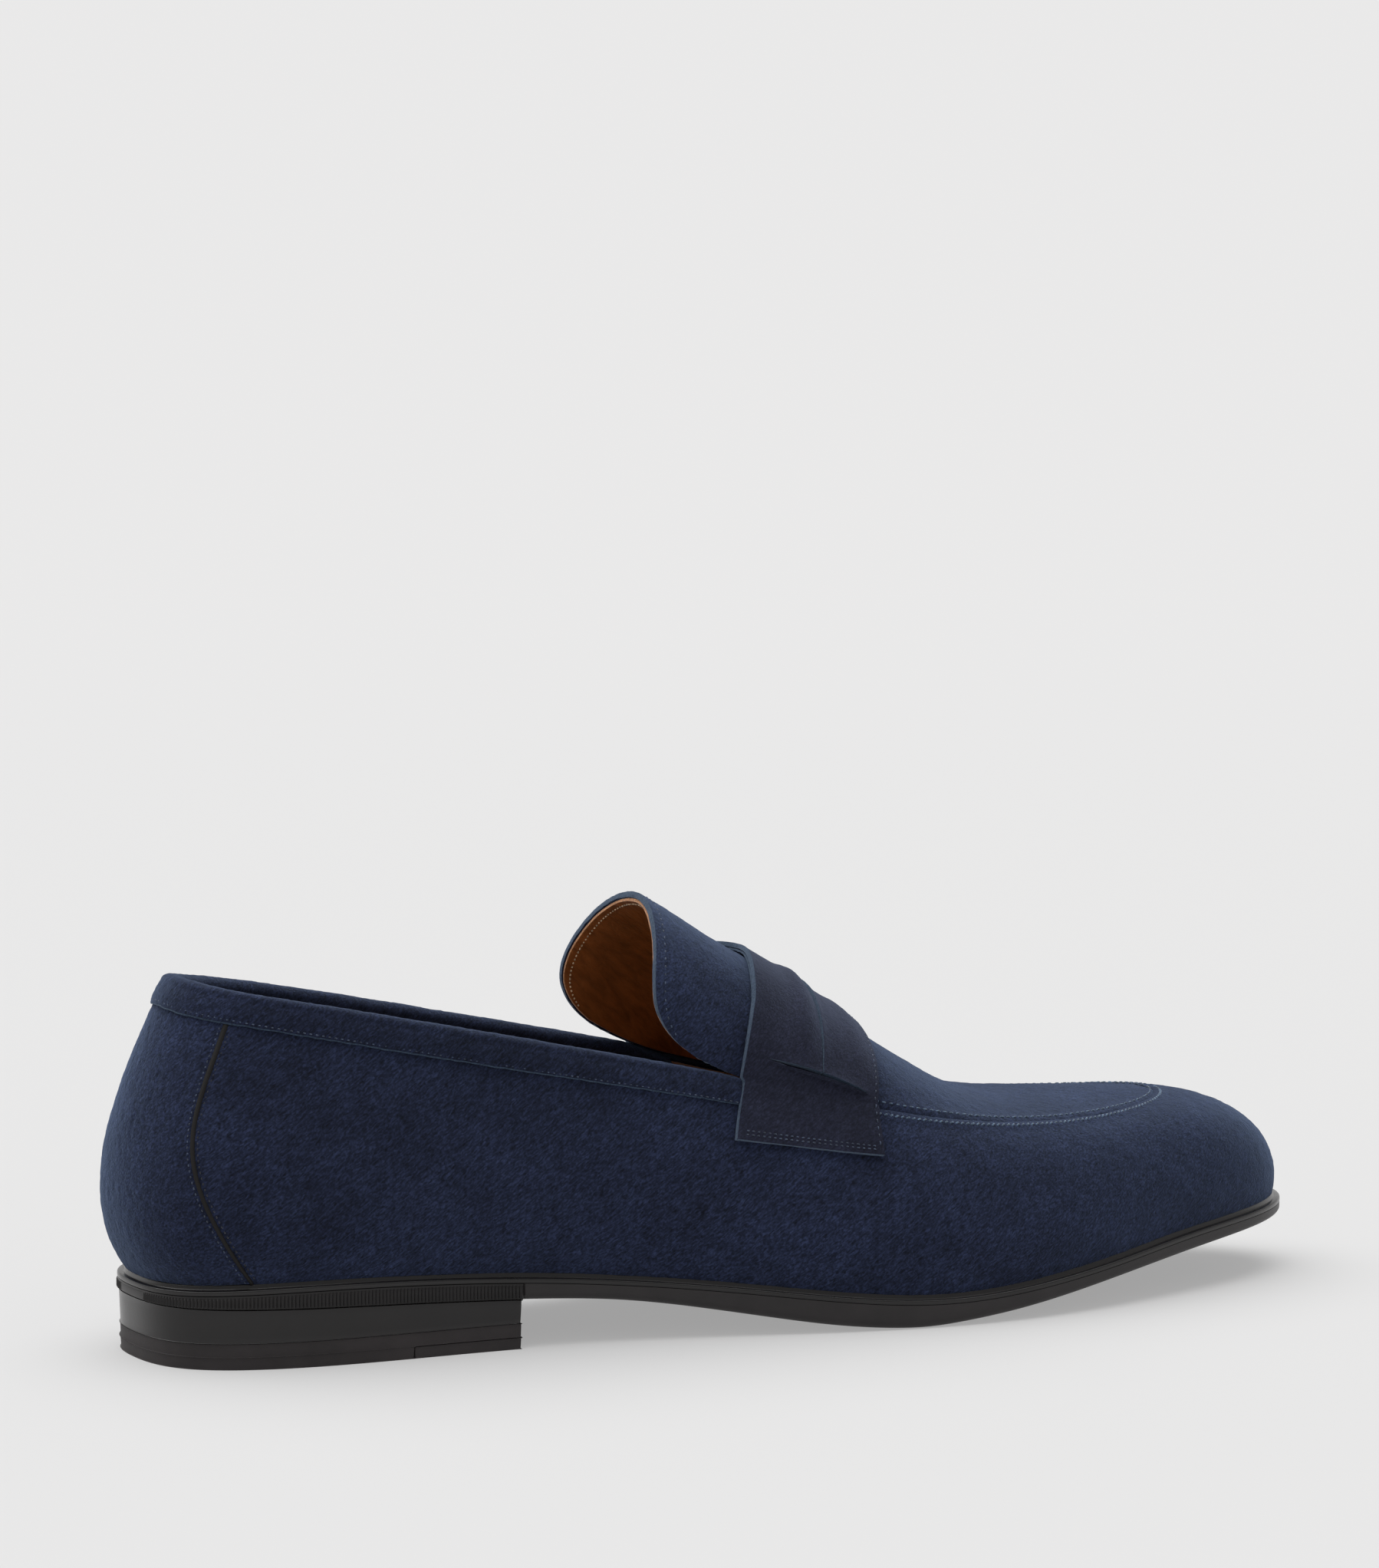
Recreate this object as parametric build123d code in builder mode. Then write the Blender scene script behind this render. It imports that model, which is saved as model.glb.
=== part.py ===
from build123d import *
import os

import numpy as np

# Men's penny loafer, right foot, in millimetres.
# Origin: middle of the heel's tread face, on the ground.
# +X runs to the toe, -Y is the outer side of the foot, +Z is up.

# ---- driving dimensions ----
HEEL_LENGTH = 85.0        # back of the heel to its breast
HEEL_BACK = -43.0         # back of the heel seat, behind the origin
HEEL_BREAST = HEEL_BACK + HEEL_LENGTH
TOP_LIFT = 6.0            # rubber tread of the heel
LIFT_INSERT = 2.8         # wear piece let into the front of the tread
INSERT_START = 15.0       # where that wear piece begins
SOLE_MARGIN = 1.8         # sole edge outside the upper's bottom line
WELT_HEIGHT = 2.1         # thin layer whose lip shows all round
RAND_WIDTH = 1.3          # ribbed strip round the heel seat
RAND_END = 42.4           # its front end
GLUE = 0.12               # clearance left between glued layers
WIDE = 120.0              # larger than half the shoe, for cutting right across it
TALL = 60.0               # higher than the whole bottom

SUEDE = 1.3               # outer leather
STIFFENER = 0.7           # layer between outer leather and lining
LINING = 0.9
STRAP = 1.3               # saddle strap leather
BINDING = 0.7             # strip folded over the top edge
COLLAR_HALF_HEIGHT = 1.7  # rise of that fold over the edge
INSOLE = 1.8
SOCK = 0.9
HEEL_PAD = 2.0
FILLER = 1.4
STACK = SUEDE + STIFFENER + LINING + 2 * GLUE

# ---- upper: side walls ----
# One row for each station round the shoe, from the middle of the back along the outer side
# to the toe (row 9) and back along the inner side.
# bottom x, y | top x, y, z | lower handle out, up | upper handle out, down
STATIONS = np.array([
    [-41.5, 0.0, -32.0, 0.0, 87.9, 13.2, 18.0, 13.0, 24.0],
    [-34.5, -20.5, -25.0, -14.5, 86.0, 12.3, 19.0, 8.5, 22.0],
    [-3.0, -29.5, 2.0, -23.5, 80.6, 7.0, 20.0, 4.0, 20.0],
    [47.0, -30.0, 51.0, -28.0, 70.0, 6.0, 18.0, 3.0, 16.0],
    [93.0, -38.0, 97.0, -30.8, 59.8, 4.0, 16.0, 5.0, 12.0],
    [138.0, -47.5, 137.0, -35.0, 50.2, 3.0, 13.0, 10.0, 10.0],
    [179.0, -46.0, 174.0, -31.5, 44.7, 2.0, 12.0, 12.0, 6.0],
    [219.0, -33.5, 203.0, -22.5, 43.9, 2.0, 12.0, 13.0, 3.5],
    [248.5, -18.5, 220.0, -12.0, 44.7, 2.6, 13.2, 17.6, 2.0],
    [260.0, 1.5, 225.5, 0.0, 45.2, 3.2, 14.0, 22.0, 1.0],
    [250.5, 19.5, 220.0, 12.0, 44.7, 2.6, 13.2, 17.6, 2.0],
    [224.0, 31.5, 203.0, 22.5, 43.9, 2.0, 12.0, 13.0, 3.5],
    [185.0, 45.5, 174.0, 31.5, 44.7, 2.0, 12.0, 12.0, 6.0],
    [145.0, 45.5, 137.0, 35.0, 50.2, 3.0, 13.0, 10.0, 10.0],
    [97.0, 31.0, 97.0, 30.8, 59.8, 7.0, 18.0, 5.0, 12.0],
    [51.0, 25.5, 51.0, 28.0, 70.0, 9.0, 20.0, 3.0, 16.0],
    [-1.0, 28.5, 2.0, 23.5, 80.6, 8.0, 20.0, 4.0, 20.0],
    [-34.5, 20.0, -25.0, 14.5, 86.0, 12.3, 19.0, 8.5, 22.0],
])
ROUND = len(STATIONS)     # stations once round the shoe
TOE = ROUND // 2          # the station at the toe tip

# Height of the upper's bottom edge, and of the sole's underside, along the shoe: x, z.
BOTTOM_EDGE = [(-53, 18.5), (-3, 19.8), (47, 17.4), (87, 13.6), (117, 9.7),
               (142, 7.7), (167, 9.0), (197, 12.8), (227, 16.4), (275, 18.9)]
UNDERSIDE = [(-53, 14.3), (2, 13.3), (44, 11.5), (67, 9.9), (87, 6.9), (107, 3.3), (122, 1.1),
             (137, 0.1), (150, 0.9), (167, 3.0), (192, 6.9), (217, 10.2), (242, 12.5), (275, 14.8)]

# ---- upper: apron and tongue ----
# One row for each cross-section, from the toe end back to the tongue's rear edge.
# stations back from the toe | ridge x, z | edge handle x, inward, up | ridge handle
SECTIONS = np.array([
    [0.00, 225.5, 45.2, 0.0, 0.1, 0.1, 0.1],
    [1.00, 220.5, 45.9, 0.0, 4.0, 0.5, 5.0],
    [2.00, 203.5, 46.8, 0.0, 7.0, 1.4, 8.0],
    [3.00, 175.0, 48.7, 0.0, 9.0, 3.2, 11.0],
    [3.50, 157.5, 56.2, 0.0, 8.0, 5.0, 12.0],
    [4.00, 139.0, 67.8, 0.0, 5.0, 9.0, 14.0],
    [4.45, 121.5, 80.0, 0.0, 2.5, 13.0, 16.0],
    [4.85, 106.0, 88.8, 0.0, 0.5, 18.0, 17.0],
    [5.12, 95.0, 95.8, -2.0, -0.5, 18.5, 16.0],
    [5.38, 84.6, 101.3, -6.0, -0.5, 18.0, 15.0],
])
LAST = len(SECTIONS) - 1.0
TONGUE_FREE = 4.75        # stations back from the toe where the tongue's edge leaves the wall
TONGUE_LIFT = 6.5         # how far that edge has risen at its end
TONGUE_PINCH = 1.0        # and how far it has moved inward

# Counter seam: station at five even heights from bottom to top.
COUNTER_SEAM = [1.46, 1.16, 0.95, 0.98, 1.13]
SEAM_GAP = 0.03           # half the width left for the piping, in stations


def spline(rows, t, closed):
    """Cubic B-spline through the rows, at parameters t (row k is met at t = k)."""
    rows = np.asarray(rows, float)
    t = np.asarray(t, float)
    n = len(rows)
    if closed:
        system = 4 * np.eye(n) + np.roll(np.eye(n), 1, 0) + np.roll(np.eye(n), -1, 0)
        control = np.linalg.solve(system, 6 * rows)
        k = np.floor(t).astype(int)
        c = [control[(k + j) % n] for j in (-1, 0, 1, 2)]
    else:
        system = np.zeros((n + 2, n + 2))
        for i in range(n):
            system[i + 1, i:i + 3] = 1, 4, 1
        system[0, :3] = system[-1, -3:] = 1, -2, 1
        control = np.linalg.solve(system, np.vstack([rows[:1] * 0, 6 * rows, rows[:1] * 0]))
        k = np.clip(np.floor(t).astype(int), 0, n - 2)
        c = [control[k + j] for j in (0, 1, 2, 3)]
    f = (t - k)[..., None]
    return ((1 - f)**3 * c[0] + (3 * f**3 - 6 * f**2 + 4) * c[1]
            + (-3 * f**3 + 3 * f**2 + 3 * f + 1) * c[2] + f**3 * c[3]) / 6


def bezier(a, b, c, d, t):
    return (1 - t)**3 * a + 3 * t * (1 - t)**2 * b + 3 * t**2 * (1 - t) * c + t**3 * d


def profile(points, x):
    """Height at x of the smooth line through a list of (x, z) points."""
    line = spline(points, np.linspace(0, len(points) - 1, 1500), False)
    return np.interp(x, line[:, 0], line[:, 1])


def outward(u):
    """Level direction out of the shoe at station u."""
    along = (spline(STATIONS, u + 1e-3, True) - spline(STATIONS, u - 1e-3, True))[..., :2]
    along /= np.linalg.norm(along, axis=-1, keepdims=True)
    return np.stack([along[..., 1], -along[..., 0], 0 * u], -1)


def bottom_line(margin):
    """Plan of the upper's bottom edge, moved out by margin, two points to a station."""
    u = np.arange(0, ROUND, 0.5)
    return (spline(STATIONS, u, True)[:, :2] + margin * outward(u)[:, :2]).tolist()


def wall(u, v):
    """Outer face of the side walls: u in stations round the shoe, v from bottom 0 to top 1."""
    u, v = np.broadcast_arrays(np.asarray(u, float), np.asarray(v, float))
    row = spline(STATIONS, u, True)
    out = outward(u)
    up = np.array([0, 0, 1.0])
    foot = np.stack([row[..., 0], row[..., 1], profile(BOTTOM_EDGE, row[..., 0])], -1)
    top = row[..., 2:5]
    low_handle = foot + out * row[..., 5:6] + up * row[..., 6:7]
    high_handle = top + out * row[..., 7:8] - up * row[..., 8:9]
    return bezier(foot, low_handle, high_handle, top, v[..., None])


def apron(s, w):
    """Outer face of apron and tongue: s in sections from the toe, w from -1 (outer) to 1."""
    s, w = np.broadcast_arrays(np.asarray(s, float), np.asarray(w, float))
    back, ridge_x, ridge_z, hx, hy, hz, hr = np.moveaxis(spline(SECTIONS, s, False), -1, 0)
    side = np.where(w < 0, 1.0, -1.0)
    free = np.clip((back - TONGUE_FREE) / (SECTIONS[-1, 0] - TONGUE_FREE), 0, None)
    edge = wall(TOE - side * back, 1.0)
    edge = edge + np.stack([0 * s, side * TONGUE_PINCH * free, TONGUE_LIFT * free**2], -1)
    ridge = np.stack([ridge_x, 0 * s, ridge_z], -1)
    edge_handle = edge + np.stack([hx, side * hy, hz], -1)
    ridge_handle = ridge + np.stack([0 * s, -side * hr, 0 * s], -1)
    return bezier(edge, edge_handle, ridge_handle, ridge, (1 - np.abs(w))[..., None])


def normals(surface, a, b):
    step = 1e-3
    across = surface(a + step, b) - surface(a - step, b)
    up = surface(a, b + step) - surface(a, b - step)
    n = np.cross(across, up)
    return n / np.linalg.norm(n, axis=-1, keepdims=True)


def skin(points):
    """A smooth face through a grid of points."""
    return Face.make_surface_from_array_of_points(
        [[Vector(*p) for p in row] for row in points], tol=0.02, min_deg=3, max_deg=3)


def wall_skin(start, end, low, high, depth=0.0, columns=25, rows=7):
    """Part of the wall, moved inward by depth; start and end are numbers or functions of v."""
    v = np.linspace(low, high, rows)
    first = start(v) if callable(start) else start + 0 * v
    last = end(v) if callable(end) else end + 0 * v
    q = np.linspace(0, 1, columns)[:, None]
    u = first + q * (last - first)
    v = v + 0 * u
    return skin(wall(u, v) - depth * normals(wall, u, v))


def apron_skin(front, rear, half_width, depth=0.0, columns=13, rows=17):
    s = np.linspace(rear, front, rows)[:, None]
    w = np.linspace(-half_width, half_width, columns)[None, :]
    s, w = np.broadcast_arrays(s, w)
    return skin(apron(s, w) + depth * normals(apron, s, w))


def counter_seam(v):
    return spline(np.array(COUNTER_SEAM)[:, None], np.asarray(v) * 4, False)[..., 0]


def binding_line(u):
    """Height v of the binding's lower edge round the top line."""
    around = np.minimum(np.abs(u), 4.0)
    return 0.91 - 0.015 * around


def strap_surface(q, p, lift):
    """Saddle strap: q from rear edge 0 to front edge 1; |p| to 1 on the apron, on to 2 on the wall."""
    w = np.clip(p, -1, 1)
    rear_back = 4.68 + 0.34 * ((w**2 + 0.01)**0.35 - 0.2)
    front_back = 3.95 + 0.17 * w**2
    back = rear_back + q * (front_back - rear_back)
    s = np.interp(back, SECTIONS[:, 0], np.arange(len(SECTIONS)))
    over = apron(s, w) - lift * normals(apron, s, w)
    down = np.clip(np.abs(p) - 1, 0, 1)
    v = 1 - down * (0.33 - 0.045 * q)
    u = TOE + np.sign(p) * (back + down * (0.06 - 0.04 * q))
    side = wall(u, v) + (lift - 0.5 * np.minimum(1, 3 * down))[..., None] * normals(wall, u, v)
    return np.where((np.abs(p) > 1)[..., None], side, over)


def strap_skin(q_low, q_high, p_low, p_high, lift, columns=7, rows=33):
    q = np.linspace(q_low, q_high, columns)[None, :]
    p = np.linspace(p_low, p_high, rows)[:, None]
    q, p = np.broadcast_arrays(q, p)
    grid = strap_surface(q, p, lift)
    near_seam = np.clip(1 - np.abs(np.abs(p) - 1) / 0.2, 0, 1)[1:-1, :, None]
    for _ in range(3):
        grid[1:-1] += near_seam * (grid[:-2] - 2 * grid[1:-1] + grid[2:]) / 4
    return skin(np.swapaxes(grid, 0, 1))


def shoe_outline(margin, end=300.0):
    """Plan of the shoe: the upper's bottom line, moved out by margin and cut off at x = end."""
    with BuildSketch(Plane.XY) as plan:
        with BuildLine():
            Spline(*[(x, y) for x, y in bottom_line(margin)], periodic=True)
        make_face()
        with Locations((end + WIDE, 0)):
            Rectangle(2 * WIDE, 3 * WIDE, mode=Mode.SUBTRACT)
    return plan.sketch


def edge_strip(margin, width, end=300.0):
    """Plan of a strip of this width along the shoe's edge, as far forward as x = end."""
    with BuildSketch(Plane.XY) as plan:
        add(shoe_outline(margin, end))
        add(shoe_outline(margin - width), mode=Mode.SUBTRACT)
    return plan.sketch


def side_band(low, high, start=-60.0, end=275.0):
    """Side view between two lines given as functions of x."""
    stations = np.linspace(start, end, 15)
    with BuildSketch(Plane.XZ) as side:
        with BuildLine():
            Spline(*[(x, low(x)) for x in stations])
            Spline(*[(x, high(x)) for x in stations])
            Line((start, low(start)), (start, high(start)))
            Line((end, low(end)), (end, high(end)))
        make_face()
    return side.sketch


def edge_height(rise):
    return lambda x: float(profile(BOTTOM_EDGE, x)) + rise


def underside(x):
    return float(profile(UNDERSIDE, x))


def sock_base(x):
    """Top of insole and heel pad, on which the sock lies."""
    behind = np.clip((30 - x) / 20, 0, 1)
    return edge_height(FILLER + INSOLE + 3 * GLUE)(x) + HEEL_PAD * behind**2 * (3 - 2 * behind)


os.makedirs("parts", exist_ok=True)
parts = []

# ---- upper ----
SEAM_EDGE = 0.985   # walls stop here, just below the apron seam and the top line


def rear_of_vamp(v):
    return counter_seam(v) + SEAM_GAP


def other_rear_of_vamp(v):
    return ROUND - counter_seam(v) - SEAM_GAP


def counter_edge(v):
    return counter_seam(v) - SEAM_GAP


def other_counter_edge(v):
    return SEAM_GAP - counter_seam(v)


with BuildPart() as vamp_wall:
    thicken(wall_skin(rear_of_vamp, other_rear_of_vamp, 0, SEAM_EDGE, columns=33), -SUEDE)
vamp_wall.part.label = "vamp_wall"
parts.append(vamp_wall)

with BuildPart() as heel_counter_cover:
    thicken(wall_skin(other_counter_edge, counter_edge, 0, SEAM_EDGE, columns=17), -SUEDE)
heel_counter_cover.part.label = "heel_counter_cover"
parts.append(heel_counter_cover)

PIPING_RISE = 0.6
PIPING_HALF = 0.02
with BuildPart() as seam_piping_outer:
    thicken(wall_skin(lambda v: counter_seam(v) - PIPING_HALF, lambda v: counter_seam(v) + PIPING_HALF,
                      0.01, 0.88, -PIPING_RISE, columns=4, rows=13), -SUEDE - PIPING_RISE)
seam_piping_outer.part.label = "seam_piping_outer"
parts.append(seam_piping_outer)

with BuildPart() as seam_piping_inner:
    thicken(wall_skin(lambda v: -counter_seam(v) - PIPING_HALF, lambda v: -counter_seam(v) + PIPING_HALF,
                      0.01, 0.88, -PIPING_RISE, columns=4, rows=13), -SUEDE - PIPING_RISE)
seam_piping_inner.part.label = "seam_piping_inner"
parts.append(seam_piping_inner)

with BuildPart() as apron_tongue:
    thicken(apron_skin(0.25, LAST, 0.985), -SUEDE)
apron_tongue.part.label = "apron_tongue"
parts.append(apron_tongue)

# Saddle strap, cut through in the shape of a letter I lying along the shoe.
STRAP_LIFT = 0.65
SLIT_AT = 0.9           # |p| of the two long slits
SLIT_HALF = 0.012
with BuildPart() as saddle_strap:
    thicken(strap_skin(0, 1, -2, 2, STRAP_LIFT), STRAP)
    for side in (-1, 1):
        thicken(strap_skin(0.12, 0.92, side * SLIT_AT - SLIT_HALF, side * SLIT_AT + SLIT_HALF,
                           STRAP_LIFT - 1.5, rows=5), 5 * STRAP, mode=Mode.SUBTRACT)
    thicken(strap_skin(0.49, 0.515, -SLIT_AT, SLIT_AT, STRAP_LIFT - 1.5, columns=4), 5 * STRAP,
            mode=Mode.SUBTRACT)
saddle_strap.part.label = "saddle_strap"
parts.append(saddle_strap)

BACKING_LIFT = 0.18
with BuildPart() as strap_backing:
    thicken(strap_skin(0.06, 0.94, -0.9, 0.9, BACKING_LIFT), STRAP_LIFT - BACKING_LIFT - GLUE)
strap_backing.part.label = "strap_backing"
parts.append(strap_backing)

# Binding folded over the top edge, from one end of the strap round the back to the other.
BINDING_END = 3.95
FOLD_POINTS = 9
LEAF_POINTS = 5
fold_half_width = (STACK + 2 * GLUE + 2 * BINDING) / 2
u = np.linspace(-BINDING_END, BINDING_END, 33)
outer_face = GLUE + BINDING
rows = []
for k in np.linspace(0, 1, LEAF_POINTS, endpoint=False):
    v = binding_line(u) + k * (SEAM_EDGE - binding_line(u))
    rows.append(wall(u, v) + outer_face * normals(wall, u, v))
edge = wall(u, SEAM_EDGE + 0 * u)
across = normals(wall, u, SEAM_EDGE + 0 * u)
rise = wall(u, SEAM_EDGE + 0.001 + 0 * u) - wall(u, SEAM_EDGE - 0.001 + 0 * u)
rise /= np.linalg.norm(rise, axis=-1, keepdims=True)
for angle in np.linspace(0, np.pi, FOLD_POINTS):
    sideways = outer_face - fold_half_width * (1 - np.cos(angle))
    rows.append(edge + across * sideways + rise * COLLAR_HALF_HEIGHT * np.sin(angle))
for k in np.linspace(0, 1, LEAF_POINTS)[1:]:
    v = SEAM_EDGE - k * (SEAM_EDGE - binding_line(u))
    rows.append(wall(u, v) - (2 * fold_half_width - outer_face) * normals(wall, u, v))
with BuildPart() as topline_binding:
    thicken(skin(np.swapaxes(rows, 0, 1)), -BINDING)
topline_binding.part.label = "topline_binding"
parts.append(topline_binding)

# ---- inside the upper ----
middle = SUEDE + GLUE
lining_depth = middle + STIFFENER + GLUE
GRIP_END = 3.15       # where the heel grip meets the vamp lining
LINING_GAP = 0.02
LINING_EDGE = 0.98

with BuildPart() as heel_stiffener:
    thicken(wall_skin(-2.85, 2.85, 0.02, 0.8, middle), -STIFFENER)
heel_stiffener.part.label = "heel_stiffener"
parts.append(heel_stiffener)

with BuildPart() as toe_puff:
    thicken(wall_skin(7.2, ROUND - 7.2, 0.03, 0.93, middle), -STIFFENER)
toe_puff.part.label = "toe_puff"
parts.append(toe_puff)

with BuildPart() as interlining_outer:
    thicken(wall_skin(2.9, 7.15, 0.03, 0.95, middle, columns=17), -STIFFENER)
interlining_outer.part.label = "interlining_outer"
parts.append(interlining_outer)

with BuildPart() as interlining_inner:
    thicken(wall_skin(ROUND - 7.15, ROUND - 2.9, 0.03, 0.95, middle, columns=17), -STIFFENER)
interlining_inner.part.label = "interlining_inner"
parts.append(interlining_inner)

with BuildPart() as heel_grip_lining:
    thicken(wall_skin(-GRIP_END, GRIP_END, 0.02, LINING_EDGE, lining_depth), -LINING)
heel_grip_lining.part.label = "heel_grip_lining"
parts.append(heel_grip_lining)

with BuildPart() as vamp_lining:
    thicken(wall_skin(GRIP_END + LINING_GAP, ROUND - GRIP_END - LINING_GAP, 0.02, LINING_EDGE,
                      lining_depth, columns=27), -LINING)
vamp_lining.part.label = "vamp_lining"
parts.append(vamp_lining)

with BuildPart() as tongue_lining:
    thicken(apron_skin(1.1, LAST - 0.02, 0.96, middle), -LINING)
tongue_lining.part.label = "tongue_lining"
parts.append(tongue_lining)

# ---- bottom: insole and what lies under and over it ----
INSOLE_MARGIN = -3.9
SHANK_START, SHANK_END, SHANK_WIDTH = 12.0, 112.0, 12.0
SHANK_THICK = 1.1
WAIST_START, WAIST_END = 8.0, 118.0
RIVETS = [(22.0, 0.0), (102.0, 0.0)]
RIVET_RADIUS = 1.6
HEEL_NAILS = [(-30.0, 0.0), (-18.0, -14.0), (-18.0, 14.0), (12.0, -15.0), (12.0, 13.0)]
NAIL_RADIUS = 0.9
NAIL_HEAD_RADIUS = 2.2
NAIL_HEAD = 0.7
NAIL_TIP = 7.0
SCREW_RADIUS = 1.8
SCREW_HEAD_RADIUS = 3.6


def fill_layer(margin, low, high, start=-60.0, end=275.0):
    """A flat piece of the shoe's outline, shaped above and below by side lines."""
    extrude(shoe_outline(margin), amount=TALL)
    extrude(side_band(low, high, start, end), amount=WIDE, both=True, mode=Mode.INTERSECT)


filler_low = edge_height(GLUE)
filler_high = edge_height(FILLER)

with BuildPart() as forefoot_filler:
    fill_layer(INSOLE_MARGIN, filler_low, filler_high, start=WAIST_END + 0.3)
forefoot_filler.part.label = "forefoot_filler"
parts.append(forefoot_filler)

with BuildPart() as heel_filler:
    fill_layer(INSOLE_MARGIN, filler_low, filler_high, end=WAIST_START - 0.3)
    for x, y in HEEL_NAILS + [(0.0, 0.0)]:
        with Locations((x, y, 0)):
            Cylinder(SCREW_HEAD_RADIUS + 0.1, TALL, mode=Mode.SUBTRACT)
heel_filler.part.label = "heel_filler"
parts.append(heel_filler)

with BuildPart() as waist_filler:
    fill_layer(INSOLE_MARGIN, filler_low, filler_high, WAIST_START, WAIST_END)
    with BuildSketch(Plane.XY):
        with Locations(((SHANK_START + SHANK_END) / 2, 0)):
            SlotOverall(SHANK_END - SHANK_START + 0.6, SHANK_WIDTH + 0.6)
    extrude(amount=TALL, mode=Mode.SUBTRACT)
waist_filler.part.label = "waist_filler"
parts.append(waist_filler)

with BuildPart() as shank:
    with BuildSketch(Plane.XY):
        with Locations(((SHANK_START + SHANK_END) / 2, 0)):
            SlotOverall(SHANK_END - SHANK_START, SHANK_WIDTH)
    extrude(amount=TALL)
    extrude(side_band(edge_height(FILLER - SHANK_THICK), filler_high), amount=WIDE, both=True,
            mode=Mode.INTERSECT)
    for x, y in RIVETS:
        with Locations((x, y, 0)):
            Cylinder(RIVET_RADIUS + 0.05, TALL, mode=Mode.SUBTRACT)
shank.part.label = "shank"
parts.append(shank)

with BuildPart() as insole_board:
    fill_layer(INSOLE_MARGIN, edge_height(FILLER + GLUE), edge_height(FILLER + GLUE + INSOLE))
    for x, y in RIVETS:
        with Locations((x, y, 0)):
            Cylinder(RIVET_RADIUS + 0.05, TALL, mode=Mode.SUBTRACT)
insole_board.part.label = "insole_board"
parts.append(insole_board)

with BuildPart() as shank_rivets:
    for x, y in RIVETS:
        with BuildSketch(Plane.XY.offset(edge_height(FILLER - SHANK_THICK + 0.1)(x))):
            with Locations((x, y)):
                Circle(RIVET_RADIUS)
        extrude(amount=SHANK_THICK + INSOLE - 0.1)
shank_rivets.part.label = "shank_rivets"
parts.append(shank_rivets)

with BuildPart() as heel_pad:
    fill_layer(INSOLE_MARGIN - 1.5, edge_height(FILLER + INSOLE + 2 * GLUE),
               lambda x: sock_base(x) - GLUE, end=26.0)
heel_pad.part.label = "heel_pad"
parts.append(heel_pad)

with BuildPart() as sock_lining:
    fill_layer(INSOLE_MARGIN, sock_base, lambda x: sock_base(x) + SOCK)
sock_lining.part.label = "sock_lining"
parts.append(sock_lining)

# ---- bottom: sole and heel ----
WELT_MARGIN = SOLE_MARGIN + 0.3
welt_low = edge_height(-WELT_HEIGHT)
with BuildPart() as welt:
    fill_layer(WELT_MARGIN, welt_low, edge_height(0.0))
    for x, y in HEEL_NAILS:
        with Locations((x, y, 0)):
            Cylinder(NAIL_RADIUS + 0.05, TALL, mode=Mode.SUBTRACT)
    with Locations((0, 0, 0)):
        Cylinder(SCREW_RADIUS + 0.05, TALL, mode=Mode.SUBTRACT)
welt.part.label = "welt"
parts.append(welt)

sole_top = edge_height(-WELT_HEIGHT - GLUE)
with BuildPart() as outsole:
    fill_layer(SOLE_MARGIN, underside, sole_top)
    extrude(edge_strip(SOLE_MARGIN + 5, 5 + RAND_WIDTH + GLUE, RAND_END), amount=TALL,
            mode=Mode.SUBTRACT)
    for x, y in HEEL_NAILS:
        with Locations((x, y, 0)):
            Cylinder(NAIL_RADIUS + 0.05, TALL, mode=Mode.SUBTRACT)
    with Locations((0, 0, 0)):
        Cylinder(SCREW_RADIUS + 0.05, TALL, mode=Mode.SUBTRACT)
outsole.part.label = "outsole"
parts.append(outsole)

with BuildPart() as heel_rand:
    extrude(edge_strip(SOLE_MARGIN + 0.1, RAND_WIDTH + 0.1), amount=TALL)
    extrude(side_band(underside, sole_top, end=RAND_END - 0.3), amount=WIDE, both=True,
            mode=Mode.INTERSECT)
heel_rand.part.label = "heel_rand"
parts.append(heel_rand)

HEEL_MARGIN = SOLE_MARGIN - 0.6
with BuildPart() as heel_block:
    extrude(shoe_outline(HEEL_MARGIN, HEEL_BREAST), amount=TALL)
    extrude(side_band(lambda x: TOP_LIFT + GLUE, lambda x: underside(x) - GLUE, end=HEEL_BREAST),
            amount=WIDE, both=True, mode=Mode.INTERSECT)
    for x, y in HEEL_NAILS:
        with Locations((x, y, NAIL_TIP - 0.1 + TALL / 2)):
            Cylinder(NAIL_RADIUS + 0.05, TALL, mode=Mode.SUBTRACT)
    with Locations((0, 0, NAIL_TIP - 0.1 + TALL / 2)):
        Cylinder(SCREW_RADIUS + 0.05, TALL, mode=Mode.SUBTRACT)
heel_block.part.label = "heel_block"
parts.append(heel_block)

with BuildPart() as top_lift:
    extrude(shoe_outline(HEEL_MARGIN, HEEL_BREAST), amount=TOP_LIFT)
    with Locations((INSERT_START + 50, 0, 0)):
        Box(100, 2 * WIDE, 2 * LIFT_INSERT, mode=Mode.SUBTRACT)
top_lift.part.label = "top_lift"
parts.append(top_lift)

with BuildPart() as top_lift_insert:
    extrude(shoe_outline(HEEL_MARGIN, HEEL_BREAST), amount=LIFT_INSERT - 0.1)
    with Locations((INSERT_START + 0.1 - 100, 0, 0)):
        Box(200, 2 * WIDE, 4 * LIFT_INSERT, mode=Mode.SUBTRACT)
top_lift_insert.part.label = "top_lift_insert"
parts.append(top_lift_insert)

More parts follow.
